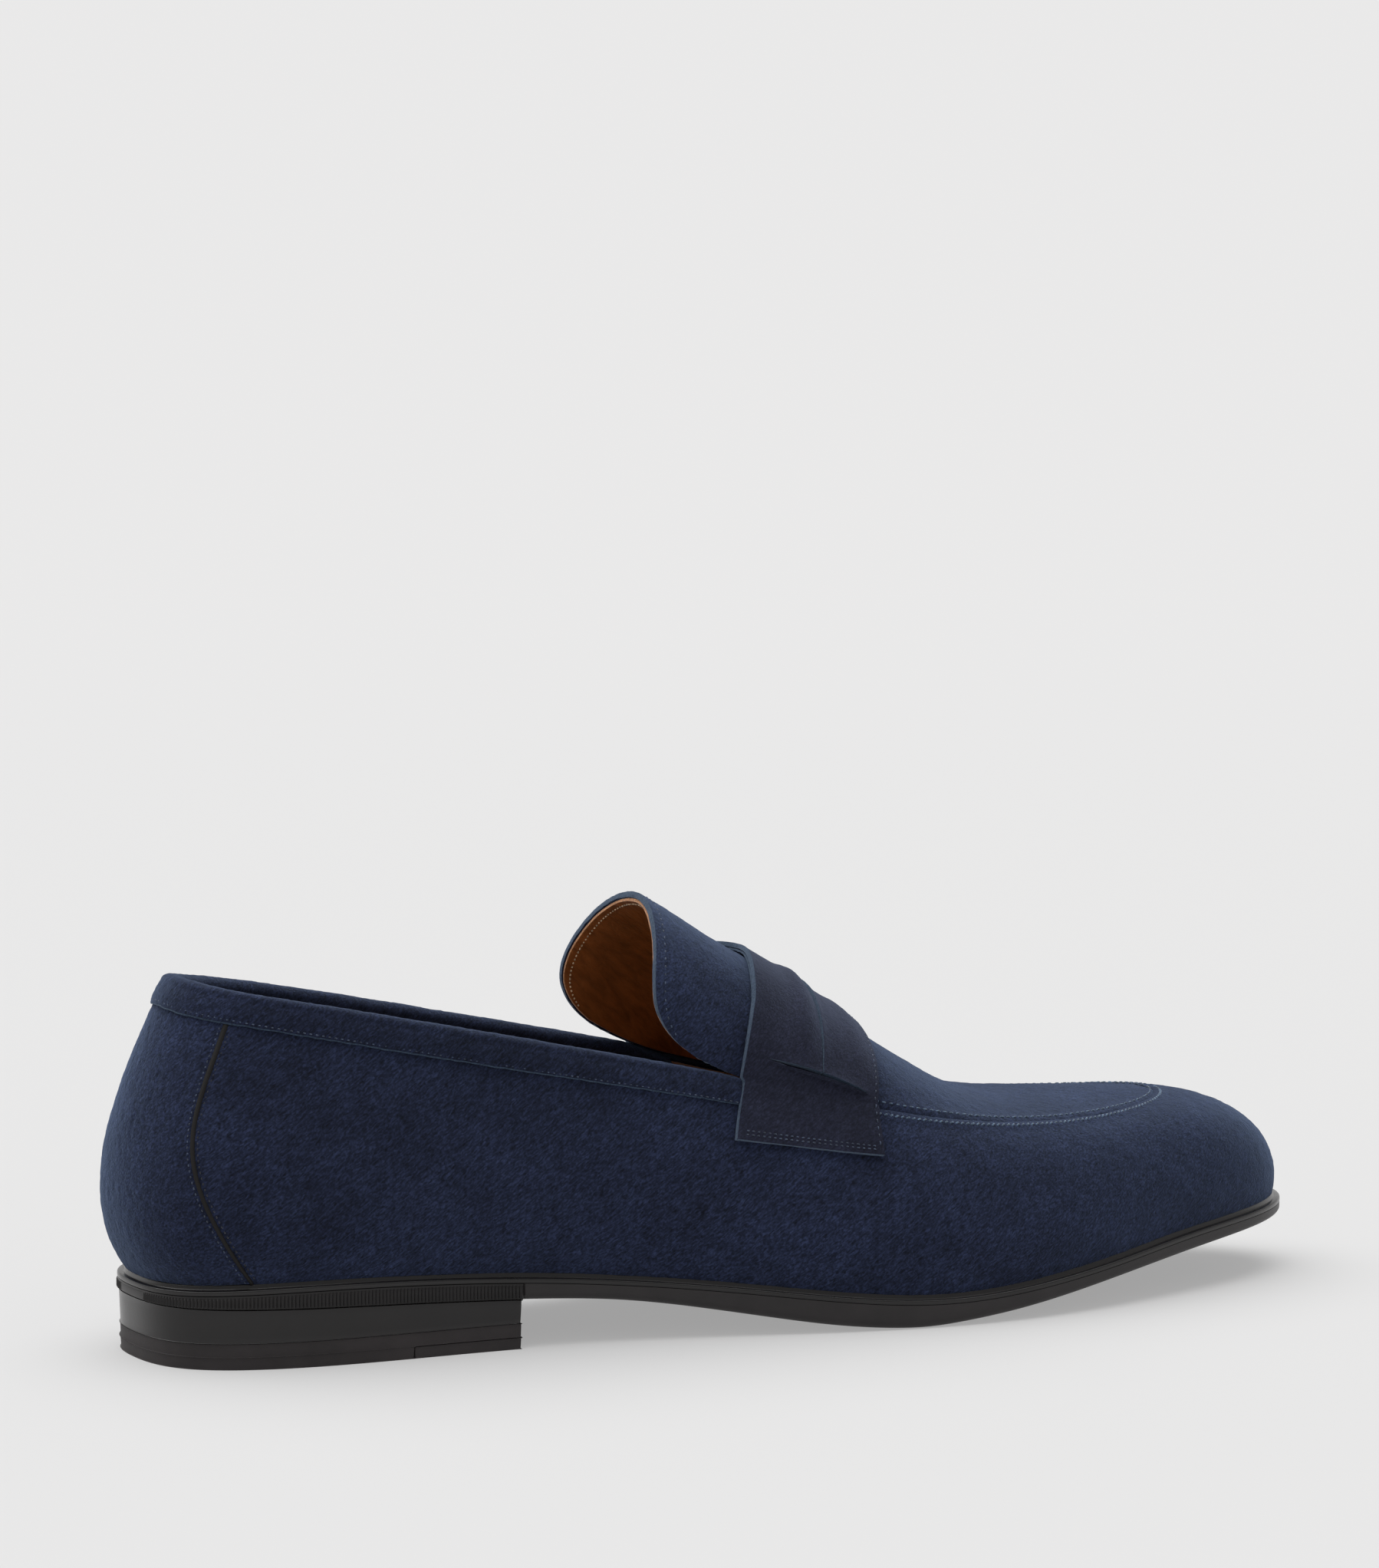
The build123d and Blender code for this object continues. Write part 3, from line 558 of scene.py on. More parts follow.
NAVY = (0.0108, 0.0148, 0.0345)
skins = {
    "suede": suede("suede_navy", NAVY),
    "strap": suede("suede_strap", (0.0116, 0.0129, 0.0252), 0.23, 0.6, (0.40, 0.5, 0.75)),
    "binding": suede("suede_binding", scaled(NAVY, 0.8), 0.3),
    "dark": suede("suede_lining_dark", (0.009, 0.008, 0.010), 0.12, 0.6, (0.6, 0.6, 0.6)),
    "edge": raw_edge("suede_cut_edge", (0.026, 0.041, 0.066)),
    "thread": thread("thread_blue", (0.054, 0.094, 0.152)),
    "dim_thread": thread("thread_blue_dim", (0.030, 0.048, 0.088)),
    "dark_thread": thread("thread_navy", (0.006, 0.008, 0.016)),
    "tan_thread": thread("thread_cream", (0.62, 0.46, 0.30)),
    "tan": smooth_leather("leather_tan", (0.21, 0.066, 0.0155), crease=0.22, stretch=(5, 1, 1), turn=(0.3, 0.8, 0)),
    "tan_edge": raw_edge("leather_tan_edge", (0.40, 0.19, 0.075)),
    "sock": smooth_leather("leather_tan_sock", (0.27, 0.12, 0.042), 0.5, 0.12),
    "piping": coated("piping_leather", (0.004, 0.0032, 0.003), 0.7, relief=0.05),
    "lip": coated("sole_lip_black", (0.006, 0.0052, 0.0054), 0.28, 0.25, relief=0.015),
    "sole": coated("sole_edge_black", (0.015, 0.0128, 0.0134), 0.45, 0.1, relief=0.03),
    "under": coated("sole_under_black", (0.014, 0.013, 0.013), 0.6, relief=0.12, size=0.9),
    "rand": coated("rand_black", (0.0092, 0.0081, 0.0084), 0.36, relief=0.02),
    "heel": coated("heel_stack_black", (0.0055, 0.0044, 0.0046), 0.3, 0.25, relief=0.02),
    "tread": coated("tread_rubber_black", (0.024, 0.0205, 0.0212), 0.6, relief=0.05, size=0.6),
    "cork": board("cork_crumb", (0.10, 0.05, 0.02), (0.35, 0.20, 0.10), 1.8),
    "fibre": board("fibreboard_brown", (0.12, 0.08, 0.05), (0.30, 0.22, 0.15), 0.8),
    "foam": board("foam_cream", (0.45, 0.40, 0.30), (0.70, 0.65, 0.52), 0.6),
    "stiff": board("stiffener_felt", (0.20, 0.18, 0.15), (0.45, 0.42, 0.36), 0.7),
    "steel": steel("steel_spring", (0.35, 0.36, 0.38), 0.35),
    "nail": steel("steel_nail", (0.45, 0.42, 0.38), 0.4),
}


# ---- upper ----
def nap(points, n, seed, soft=0.22, fuzz=0.11):
    """Leather is never quite even: slow swells, and tufts of nap on top."""
    swell = soft * lumps(points, 26, seed) + 0.4 * soft * lumps(points, 9, seed + 1)
    tuft = fuzz * lumps(points, 1.1, seed + 2)
    return points + n * (swell + tuft)[..., None]


def seam_rise(distance):
    """Height of the leather by the apron seam: it rolls up, then dips into the seam."""
    return 0.22 * np.exp(-((distance - 1.9) / 1.2)**2) - 0.18 * np.exp(-(distance / 0.4)**2)


def wall_top(u):
    """The walls stop lower under the binding than at the apron seam."""
    free = np.clip((np.abs(TOE - u) - 4.55) / 0.35, 0, 1)
    return 1.0 - (1.0 - SEAM_EDGE) * free


def vamp_points(u, v):
    points = wall(u, v)
    n = normals(wall, u, v)
    to_seam = np.linalg.norm(wall(u, 1.0 + 0 * v) - points, axis=-1)
    by_seam = np.clip((4.85 - np.abs(TOE - u)) / 0.25, 0, 1)
    return nap(points + n * (by_seam * seam_rise(to_seam))[..., None], n, 3)


def build_vamp():
    columns, rows = 590, 72
    middle = even(lambda t: wall(t, 0.4), 1.0, ROUND - 1.0, columns)
    share = (middle - 1.0) / (ROUND - 2.0)
    steps = np.r_[np.linspace(0, 0.9, rows - 14), np.linspace(0.9, 1, 15)[1:]]
    gap = 0.012
    first, last = counter_seam(steps) + gap, ROUND - counter_seam(steps) - gap
    u = first[:, None] + share[None, :] * (last - first)[:, None]
    v = steps[:, None] * wall_top(u)
    obj = make("vamp_wall_leather", vamp_points(u, v), quads(rows, columns), [skins["suede"], skins["edge"]])
    return thicken(obj, SUEDE)


def build_counter():
    columns, rows = 150, 100
    steps = np.linspace(0, SEAM_EDGE, rows)
    edge = counter_seam(steps) - 0.012
    share = np.linspace(-1, 1, columns)
    u = share[None, :] * edge[:, None]
    v = steps[:, None] + 0 * u
    points = wall(u, v)
    obj = make("heel_counter_leather", nap(points, normals(wall, u, v), 7), quads(rows, columns),
               [skins["suede"], skins["edge"]])
    return thicken(obj, SUEDE)


def build_piping(name, side):
    v = np.linspace(0.0, 0.9, 160)
    u = side * counter_seam(v)
    n = normals(wall, u, v)
    line = wall(u, v) - 0.1 * n
    width = 0.45 + 0.3 * v[:, None, None]
    across = np.cross(n, along_line(line))
    return tube(name, line, across, n, width, 0.6, skins["piping"])


def counter_stitches(name, side, offset, skin, seed):
    v = np.linspace(0.01, 0.885, 200)
    u = side * counter_seam(v)
    n = normals(wall, u, v)
    line = wall(u, v)
    across = np.cross(n, along_line(line))
    line = line + across * offset + n * 0.08
    return stitches(name, line, n, 1.35, 0.6, 0.15, skins[skin], seed=seed)


def build_apron():
    rows = 210
    length = even(lambda t: apron(t, 0 * t), 0.3, LAST, rows)
    w = np.r_[np.linspace(-1, -0.88, 12), np.linspace(-0.88, 0.88, 84)[1:-1], np.linspace(0.88, 1, 12)]
    s, w = np.meshgrid(length, w * 0.9995, indexing="ij")
    reach = np.clip((s - 6.0) / (LAST - 6.0), 0, 1)**2
    s = s - reach * (LAST - tongue_end(w))
    points = apron(s, w)
    n = apron_normals(s, w)
    points[0] = wall(TOE + 0.3 * w[0], 1 + 0 * w[0])
    n[0] = n[1]
    to_seam = np.linalg.norm(apron(s, np.sign(w + 1e-9)) - points, axis=-1)
    to_seam[0] = 0
    back = spline(SECTIONS, s, False)[..., 0]
    by_seam = np.clip((4.85 - back) / 0.25, 0, 1)
    points = nap(points + n * (by_seam * seam_rise(to_seam))[..., None], n, 11)
    obj = make("apron_tongue_leather", points, quads(*s.shape), [skins["suede"], skins["edge"]])
    return thicken(obj, SUEDE + 0.2)


def apron_seam_stitches():
    back = np.linspace(0.06, 4.12, 500)
    made = []
    for label, side in (("outer", -1), ("inner", 1)):
        s = np.interp(back, SECTIONS[:, 0], np.arange(len(SECTIONS)))
        w = side * np.linspace(0.6, 1, 60)[None, :] + 0 * s[:, None]
        across = apron(s[:, None] + 0 * w, w)
        gap = np.linalg.norm(across - across[:, -1:], axis=-1)
        pick = np.array([np.interp(1.7, gap[i, ::-1], w[i, ::-1]) for i in range(len(s))])
        n = apron_normals(s, pick)
        line = apron(s, pick) + n * 0.26
        made.append(stitches(f"apron_stitches_{label}", line, n, 1.9, 1.35, 0.2, skins["thread"], seed=21))
        u = TOE + side * back
        v = 1 - np.linspace(0, 0.2, 80)[None, :] + 0 * u[:, None]
        down = wall(u[:, None] + 0 * v, v)
        gap = np.linalg.norm(down - down[:, :1], axis=-1)
        pick = np.array([np.interp(1.7, gap[i], v[i]) for i in range(len(u))])
        n = normals(wall, u, pick)
        line = wall(u, pick) + n * 0.28
        made.append(stitches(f"wall_stitches_{label}", line, n, 1.5, 1.3, 0.24, skins["thread"],
                             tilt=28, seed=22))
    return made


SLIT_START, SLIT_END, CROSS_CUT = 0.14, 0.92, 0.54


def slit_drift(q, p):
    """The slits don't run level: they come down towards the front and bow up in the middle."""
    share = (q - SLIT_START) / (SLIT_END - SLIT_START)
    bow = np.sin(np.pi * np.clip(share, 0, 1))
    near = np.where(np.abs(p) < SLIT_AT, np.exp(-((np.abs(p) - SLIT_AT) / 0.4)**2),
                    np.clip((1 - np.abs(p)) / (1 - SLIT_AT), 0, 1))
    return np.sign(p) * near * (0.055 * (share - 0.4) - 0.02 * bow)


def slit_width(q):
    """How far the slit stands open along its length: most towards the front."""
    along = np.clip((q - SLIT_START) / (SLIT_END - SLIT_START), 0, 1)
    return np.sin(np.pi * along**1.45)**0.75


def strap_rise(q, p):
    """Shape of the strap beyond its nominal lift: flaps, lips of the slits, a lifted corner."""
    inside = np.abs(p) < SLIT_AT
    across = 1 - np.clip(np.abs(p) / SLIT_AT, 0, 1)**6
    rear = (1.1 * np.exp(-((q - 0.42) / 0.085)**2) - 0.3 * np.exp((q - CROSS_CUT) / 0.03)) * across
    front = (0.55 * np.exp(-((q - CROSS_CUT) / 0.045)**2) + 0.6 * np.exp(-((q - 0.86) / 0.1)**2)) * across
    flaps = np.where(inside, np.where(q <= CROSS_CUT, rear, front), 0)
    opening = slit_width(q)**0.8
    from_slit = np.abs(p) - SLIT_AT
    lip = np.where(inside, 1.35 * np.exp(from_slit / 0.05), -0.55 * np.exp(-np.abs(from_slit) / 0.05))
    return flaps + lip * opening + strap_curl(q, p)


def strap_curl(q, p):
    """The strap's rear edge and its lower rear corner stand off a little."""
    corner = 0.9 * np.clip(1 - q / 0.35, 0, 1)**2 * np.clip((np.abs(p) - 1.6) / 0.4, 0, 1)**2
    return corner + 0.3 * np.exp(-q / 0.06)


def strap_normals(q, p, rise):
    step = 0.002
    n = np.cross(strap_surface(q + step, p, rise) - strap_surface(q - step, p, rise),
                 strap_surface(q, p + step, rise) - strap_surface(q, p - step, rise))
    return n / np.linalg.norm(n, axis=1, keepdims=True)


def build_strap(name, lift, thickness, cut):
    """The strap as one sheet with real cuts: points on a cut are doubled, one for each side."""
    side_p = np.linspace(1, 2, 34)[1:]
    slit_p = np.r_[np.linspace(0, 0.82, 44), np.linspace(0.82, SLIT_AT, 9)[1:], np.linspace(SLIT_AT, 1, 10)[1:]]
    half = np.r_[slit_p, side_p]
    p_line = np.r_[-half[:0:-1], half]
    q_line = np.r_[np.linspace(0, CROSS_CUT - 0.06, 30), np.linspace(CROSS_CUT - 0.06, CROSS_CUT, 6)[1:],
                   np.linspace(CROSS_CUT, CROSS_CUT + 0.06, 6)[1:], np.linspace(CROSS_CUT + 0.06, 1, 24)[1:]]
    columns, rows = len(q_line), len(p_line)
    cut_rows = [int(np.argmin(np.abs(p_line - a))) for a in (-SLIT_AT, SLIT_AT)]
    cut_column = int(np.argmin(np.abs(q_line - CROSS_CUT)))
    ends = [int(np.argmin(np.abs(q_line - a))) for a in (SLIT_START, SLIT_END)]
    keys, coordinates, faces = {}, [], []

    def region(i, j):
        if not cut or i < cut_rows[0] or i >= cut_rows[1]:
            return 0
        return 1 if j < cut_column else 2

    def vertex(i, j, part):
        on_slit = cut and i in cut_rows and ends[0] < j < ends[1]
        on_cross = cut and j == cut_column and cut_rows[0] <= i <= cut_rows[1]
        key = (i, j, part if on_slit or on_cross else -1)
        if key not in keys:
            keys[key] = len(coordinates)
            q, p = q_line[j], p_line[i]
            inside = 1.0
            if on_slit:
                p = p + np.sign(p) * slit_width(q) * (0.017 if part == 0 else -0.010)
                inside = 0.0 if part == 0 else 1.0
            if on_cross:
                q = q + {0: 0, 1: -0.004, 2: 0.004}[part]
            coordinates.append((q, p, inside, q_line[j] if part != 2 else q_line[j] + 1e-4))
        return keys[key]

    for i in range(rows - 1):
        for j in range(columns - 1):
            part = region(i, j)
            faces.append([vertex(i, j, part), vertex(i, j + 1, part), vertex(i + 1, j + 1, part),
                          vertex(i + 1, j, part)])
    q, p, inside, q_flap = np.array(coordinates).T
    p_rise = np.where(inside == 0, np.sign(p) * (SLIT_AT + 1e-4), np.sign(p) * np.minimum(np.abs(p), 2))
    on_lip = (np.abs(p) > SLIT_AT) & (np.abs(p) < SLIT_AT + 0.012) & (inside == 1)
    p_rise = np.where(on_lip, np.sign(p) * (SLIT_AT - 1e-4), p_rise)
    rise = lift + (strap_rise(q_flap, p_rise) if cut else strap_curl(q, p))
    p = p + slit_drift(q, p)
    n = strap_normals(q, p, rise)
    obj = make(name, nap(strap_surface(q, p, rise), n, 15, 0.12, 0.06), faces, [skins["strap"], skins["edge"]])
    return thicken(obj, thickness, round_edge=0.15)


def strap_line(q, p, lift):
    rise = lift + strap_rise(q, p)
    return strap_surface(q, p, rise), strap_normals(q, p, rise)


def strap_stitches(top):
    made = []
    for label, side in (("outer", -1), ("inner", 1)):
        for row, p in (("low", 1.915), ("high", 1.855)):
            q = np.linspace(0.05, 0.95, 120)
            line, n = strap_line(q, side * p + 0 * q, top + 0 * q)
            made.append(stitches(f"strap_stitches_{row}_{label}", line + n * 0.12, n, 1.35, 0.7, 0.15,
                                 skins["dim_thread"], seed=31))
    p = np.r_[np.linspace(-1.86, -1.02, 120), np.linspace(-0.98, 0.98, 240), np.linspace(1.02, 1.86, 120)]
    line, n = strap_line(0.975 + 0 * p, p, top + 0 * p)
    made.append(stitches("strap_stitches_front", line + n * 0.10, n, 1.9, 0.95, 0.13, skins["dim_thread"], seed=32))
    return made


def build_binding():
    u = even(lambda t: wall(t, 0.95), -BINDING_END, BINDING_END, 400)
    under_strap = np.clip((np.abs(u) - 3.98) / 0.3, 0, 1)
    outer, inner = (0.95 - 0.6 * under_strap)[:, None], 4.0
    roll = (1.9 * (1 - 0.9 * under_strap))[:, None]
    rows = []
    low = binding_line(u)
    ragged = 0.0025 * lumps(wall(u, low), 1.6, 43)
    for k in np.r_[0, 0.045, np.linspace(0.09, 1, 12, endpoint=False)]:
        v = low + k * (SEAM_EDGE - low) + ragged * (1 - k)**8
        n = normals(wall, u, v)
        rows.append(wall(u, v) + n * (outer - 0.15 - 0.25 * (k == 0) + 0.4 * np.sin(np.pi * k)))
    v = SEAM_EDGE + 0 * u
    edge, n = wall(u, v), normals(wall, u, v)
    rise = wall(u, v + 0.001) - wall(u, v - 0.001)
    rise /= np.linalg.norm(rise, axis=1, keepdims=True)
    half = (outer + inner) / 2
    for angle in np.linspace(0, np.pi, 15):
        rows.append(edge + n * (outer - half * (1 - np.cos(angle))) + rise * roll * np.sin(angle))
    for k in np.linspace(0, 1, 10)[1:]:
        v = SEAM_EDGE - k * (SEAM_EDGE - low)
        rows.append(wall(u, v) - inner * normals(wall, u, v))
    points = np.array(rows)
    across = np.gradient(points, axis=1)
    up = np.gradient(points, axis=0)
    n = np.cross(across, up)
    n /= np.linalg.norm(n, axis=-1, keepdims=True)
    slots = np.zeros((len(rows) - 1, len(u) - 1), int)
    slots[0] = 1
    obj = make("topline_binding_leather", nap(points, n, 19, 0.15, 0.1), quads(*points.shape[:2]),
               [skins["binding"], skins["edge"]], face_slots=slots.ravel())
    return thicken(obj, BINDING, round_edge=0.2)


def binding_stitches():
    u = even(lambda t: wall(t, 0.9), -BINDING_END, BINDING_END, 900)
    v = binding_line(u) + 0.013
    n = normals(wall, u, v)
    return stitches("binding_stitches", wall(u, v) + n * 0.95, n, 1.5, 0.75, 0.14, skins["dim_thread"], seed=41)


def tongue_stitches():
    w = np.linspace(-0.955, 0.955, 600)
    s = tongue_end(w) - 0.175
    n = apron_normals(s, w)
    outer = stitches("tongue_stitches_outer", apron(s, w) + n * 0.06, n, 2.1, 1.0, 0.17, skins["dim_thread"], seed=51)
    s = tongue_end(w) - 0.15
    n = apron_normals(s, w)
    depth = TONGUE_LINING_DEPTH + LINING
    lining = stitches("tongue_stitches_lining", apron(s, w) - n * (depth + 0.12), -n, 1.05, 0.6, 0.2,
                      skins["tan_thread"], seed=52)
    return [outer, lining]


def crease(points, n, seed, amount=0.16):
    """Lining leather: shallow creases that run with the shoe's length."""
    stretched = points * np.array([0.35, 1, 1])
    return points + n * (amount * lumps(stretched, 3.5, seed) + amount * lumps(points, 14, seed + 1))[..., None]


def build_tongue_lining():
    s, w = np.meshgrid(np.linspace(0, 1, 120), np.linspace(-0.994, 0.994, 100), indexing="ij")
    s = 1.1 + s * (tongue_end(w) - 0.03 - 1.1)
    n = apron_normals(s, w)
    points = crease(apron(s, w) - n * (TONGUE_LINING_DEPTH + LINING), n, 61)
    obj = make("tongue_lining_leather", points, quads(*s.shape, flip=True), [skins["tan"], skins["tan_edge"]])
    return thicken(obj, LINING, round_edge=0.2)


def build_wall_lining(name, start, end, skin, edge, columns, seed):
    u, v = np.meshgrid(np.linspace(start, end, columns), np.linspace(0.02, 0.98, 40), indexing="ij")
    n = normals(wall, u, v)
    points = crease(wall(u, v) - n * (LINING_DEPTH + LINING), n, seed, 0.1)
    obj = make(name, points, quads(*u.shape), [skins[skin], skins[edge]])
    return thicken(obj, LINING, round_edge=0)


# ---- bottom ----
def outline(u, margin, z):
    """Points round the shoe: the upper's bottom line moved out by margin, at height z."""
    row = spline(STATIONS, u, True)
    xy = row[:, :2] + np.reshape(margin, (-1, 1)) * outward(u)[:, :2]
    return np.column_stack([xy, z + 0 * u])


def sweep(name, u, section, material, ring, slots=None):
    """A band round the shoe; section gives its points, as margins and heights, at every u."""
    rings = [outline(u, margin, z) for margin, z in section]
    points = np.array(rings)
    return make(name, points, quads(len(rings), len(u), ring=ring), material, 40, slots)


def round_path(count):
    return even(lambda t: outline(t, 0, 0), 0, ROUND, count + 1)[:-1]


def base_x(u):
    return spline(STATIONS, u, True)[:, 0]


def build_welt():
    u = round_path(720)
    top = edge_height(base_x(u))
    out = SOLE_MARGIN + 0.04
    section = [(-5.0, top - 0.9), (-0.6, top - 0.7), (-0.25, top - 0.05), (0.0, top), (0.16, top - 0.25)]
    section += [(0.25, top - 0.8), (0.45, top - 0.98), (out - 0.4, top - 1.0), (out - 0.18, top - 1.08)]
    section += [(out - 0.05, top - 1.22), (out, top - 1.45), (out, top - 2.0), (out - 0.03, top - 2.08)]
    section += [(out - 0.12, top - WELT_HEIGHT), (-5.0, top - WELT_HEIGHT)]
    section.append(section[0])
    return weld(sweep("welt_lip", u, section, [skins["lip"]], True))


def build_outsole():
    u = round_path(560)
    x = base_x(u)
    top = edge_height(x) - WELT_HEIGHT - 0.1
    low = underside(x)
    inset = np.where(x < RAND_END, RAND_WIDTH, 0.0)
    out = SOLE_MARGIN - inset
    corner = np.minimum(1.9, 0.45 * (top - low))
    section = [(-6.0, top), (out - 0.12, top), (out - 0.03, top - 0.04), (out, top - 0.35)]
    for k in np.linspace(0, 1, 5)[1:-1]:
        section.append((out, top - 0.35 + k * (low + corner - top + 0.35)))
    for angle in np.linspace(0, np.pi / 2, 7):
        section.append((out - corner * (1 - np.cos(angle)), low + corner * (1 - np.sin(angle))))
    rings = [outline(u, margin, z) for margin, z in section]
    rings += inward_rings(rings[-1], (0.85, 0.6, 0.35, 0.12, 0.0))
    points = np.array(rings)
    slots = np.zeros((len(rings) - 1, len(u)), int)
    slots[len(section) - 2:] = 1
    obj = make("outsole_black", points, quads(len(rings), len(u), ring=True), [skins["sole"], skins["under"]],
               40, slots.ravel())
    weld(obj)
    return obj


def inward_rings(ring, shares):
    """Rings that close in on the shoe's middle line, pairing each point with the one across."""
    middle = (ring + np.roll(ring[::-1], 1, 0)) / 2
    closing = []
    for share in shares:
        made = middle + share * (ring - middle)
        closing.append(made)
    return closing


def weld(obj):
    shape = bmesh.new()
    shape.from_mesh(obj.data)
    bmesh.ops.remove_doubles(shape, verts=shape.verts, dist=2e-6)
    bmesh.ops.dissolve_degenerate(shape, edges=shape.edges, dist=1e-6)
    bmesh.ops.recalc_face_normals(shape, faces=shape.faces)
    shape.to_mesh(obj.data)
    shape.free()
    obj.data.update()
    return obj


def build_rand():
    """Ribbed strip round the heel seat."""
    pitch, per_rib = 0.88, 6
    dense = np.linspace(-3.4, 3.4, 4000)
    inside = base_x(dense) < RAND_END
    start, end = dense[inside][0], dense[inside][-1]
    line = lambda t: outline(t, SOLE_MARGIN, 0)
    length = np.linalg.norm(np.diff(line(np.linspace(start, end, 2000)), axis=0), axis=1).sum()
    ribs = int(length / pitch)
    u = even(line, start, end, ribs * per_rib + 1)
    wave = 0.5 - 0.5 * np.cos(2 * np.pi * np.arange(len(u)) / per_rib)
    plain = np.clip((np.abs(u) - 0.3) / 0.02, 0, 1)
    rib = 0.32 * wave * plain
    x = base_x(u)
    top = edge_height(x) - WELT_HEIGHT - 0.1
    low = underside(x)
    out = SOLE_MARGIN - 0.1
    section = [(out - RAND_WIDTH + 0.1, top), (out - 0.1, top), (out + 0.04, top - 0.1), (out + 0.04, top - 0.48)]
    section += [(out + rib * 0.6 - 0.1, top - 0.62), (out + rib, top - 0.85), (out + rib, (top + low) / 2)]
    section += [(out + rib, low + 0.4), (out + rib * 0.6 - 0.1, low + 0.2), (out - 0.2, low + 0.08)]
    section += [(out - 0.5, low), (out - RAND_WIDTH + 0.1, low)]
    section.append(section[0])
    rings = [outline(u, margin, z) for margin, z in section]
    points = np.array(rings)
    faces = quads(len(rings), len(u))
    columns = len(u)
    faces.append([k * columns for k in range(len(rings) - 1)])
    faces.append([k * columns + columns - 1 for k in range(len(rings) - 1)][::-1])
    obj = make("heel_rand_ribbed", points, faces, [skins["rand"]], 40)
    weld(obj)
    return obj


def heel_plan(margin, end):
    """Plan of the heel as far forward as x = end, from the outer corner round the back to the inner one."""
    dense = np.linspace(-3.3, 3.3, 6000)
    x = outline(dense, margin, 0)[:, 0]
    inside = dense[x <= end]
    u = even(lambda t: outline(t, margin, 0), inside[0], inside[-1], 181)[::-1]
    plan = outline(u, margin, 0)[:, :2]
    plan[0, 0] = plan[-1, 0] = end
    return plan


def prism(name, plan, low, high, material, taper=0.0, edge=0.4, start=None, slots=None):
    """An upright block on a plan; low and high are functions of x. It is cut off behind x = start."""
    if start is not None:
        keep = plan[:, 0] >= start
        front = plan[keep]
        half = len(front) // 2
        outer, inner = front[:half], front[half:]
        plan = np.vstack([outer, [[start, outer[-1, 1]]], [[start, inner[0, 1]]], inner])
    levels = 6
    centre = plan.mean(0)
    direction = plan - centre
    direction /= np.linalg.norm(direction, axis=1, keepdims=True)
    rings = []
    for share in np.linspace(0, 1, levels):
        xy = plan - direction * taper * (1 - share)
        z = low(plan[:, 0]) + share * (high(plan[:, 0]) - low(plan[:, 0]))
        rings.append(np.column_stack([xy, z]))
    points = np.array(rings)
    n = len(plan)
    faces = quads(levels, n, ring=True, flip=True)
    faces.append(list(range(n))[::-1])
    faces.append(list(range((levels - 1) * n, levels * n)))
    obj = make(name, points, faces, [material])
    bevel = obj.modifiers.new("edge", "BEVEL")
    bevel.width = edge * MM
    bevel.segments = 3
    bevel.limit_method = "ANGLE"
    bevel.angle_limit = np.radians(55)
    finish_mesh(obj, 50)
    return obj


def build_heel():
    flat = lambda height: lambda x: height + 0 * x
    plan = heel_plan(HEEL_MARGIN, HEEL_BREAST)
    block = prism("heel_block_glossy", heel_plan(HEEL_MARGIN + 0.25, HEEL_BREAST), flat(TOP_LIFT + 0.08),
                  lambda x: underside(x) - 0.05, skins["heel"], 0.3, 0.2)
    upper = prism("top_lift_upper", plan, flat(LIFT_INSERT + 0.05), flat(TOP_LIFT), skins["tread"], 0.1, 0.2)
    rear = prism("top_lift_rear", heel_plan(HEEL_MARGIN, INSERT_START), flat(0.0), flat(LIFT_INSERT + 0.05),
                 skins["tread"], 0.2, 0.25)
    insert = prism("top_lift_insert_rubber", plan, flat(0.0), flat(LIFT_INSERT - 0.1), skins["tread"], 0.2, 0.25,
                   start=INSERT_START + 0.06)
    return block, upper, rear, insert


def sock_base(x):
    behind = np.clip((30 - x) / 20, 0, 1)
    return edge_height(x) + FILLER + INSOLE + 3 * GLUE + HEEL_PAD * behind**2 * (3 - 2 * behind)


def inner_line(u, height):
    """Where the lining's inner face stands at this height above the bottom edge."""
    v = np.linspace(0.02, 0.6, 60)
    grid_u, grid_v = np.meshgrid(u, v, indexing="ij")
    face = wall(grid_u, grid_v) - normals(wall, grid_u, grid_v) * (LINING_DEPTH + LINING + 0.1)
    target = height(face[:, 0, 0])
    return np.array([[np.interp(target[i], face[i, :, 2], face[i, :, k]) for k in range(3)]
                     for i in range(len(u))])


def build_sock():
    u = round_path(360)
    edge = inner_line(u, lambda x: sock_base(x) + SOCK + 0.6)
    plan_edge = edge.copy()
    rings = [plan_edge]
    for share, rise in ((0.97, 0.15), (0.93, 0.0), (0.8, 0), (0.6, 0), (0.4, 0), (0.2, 0), (0.0, 0)):
        ring = inward_rings(edge, (share,))[0]
        ring[:, 2] = sock_base(ring[:, 0]) + SOCK + rise
        rings.append(ring)
    points = np.array(rings)
    obj = make("sock_lining_leather", points, quads(len(rings), len(u), ring=True, flip=False), [skins["sock"]])
    weld(obj)
    return thicken(obj, SOCK, rim=0, round_edge=0.1)


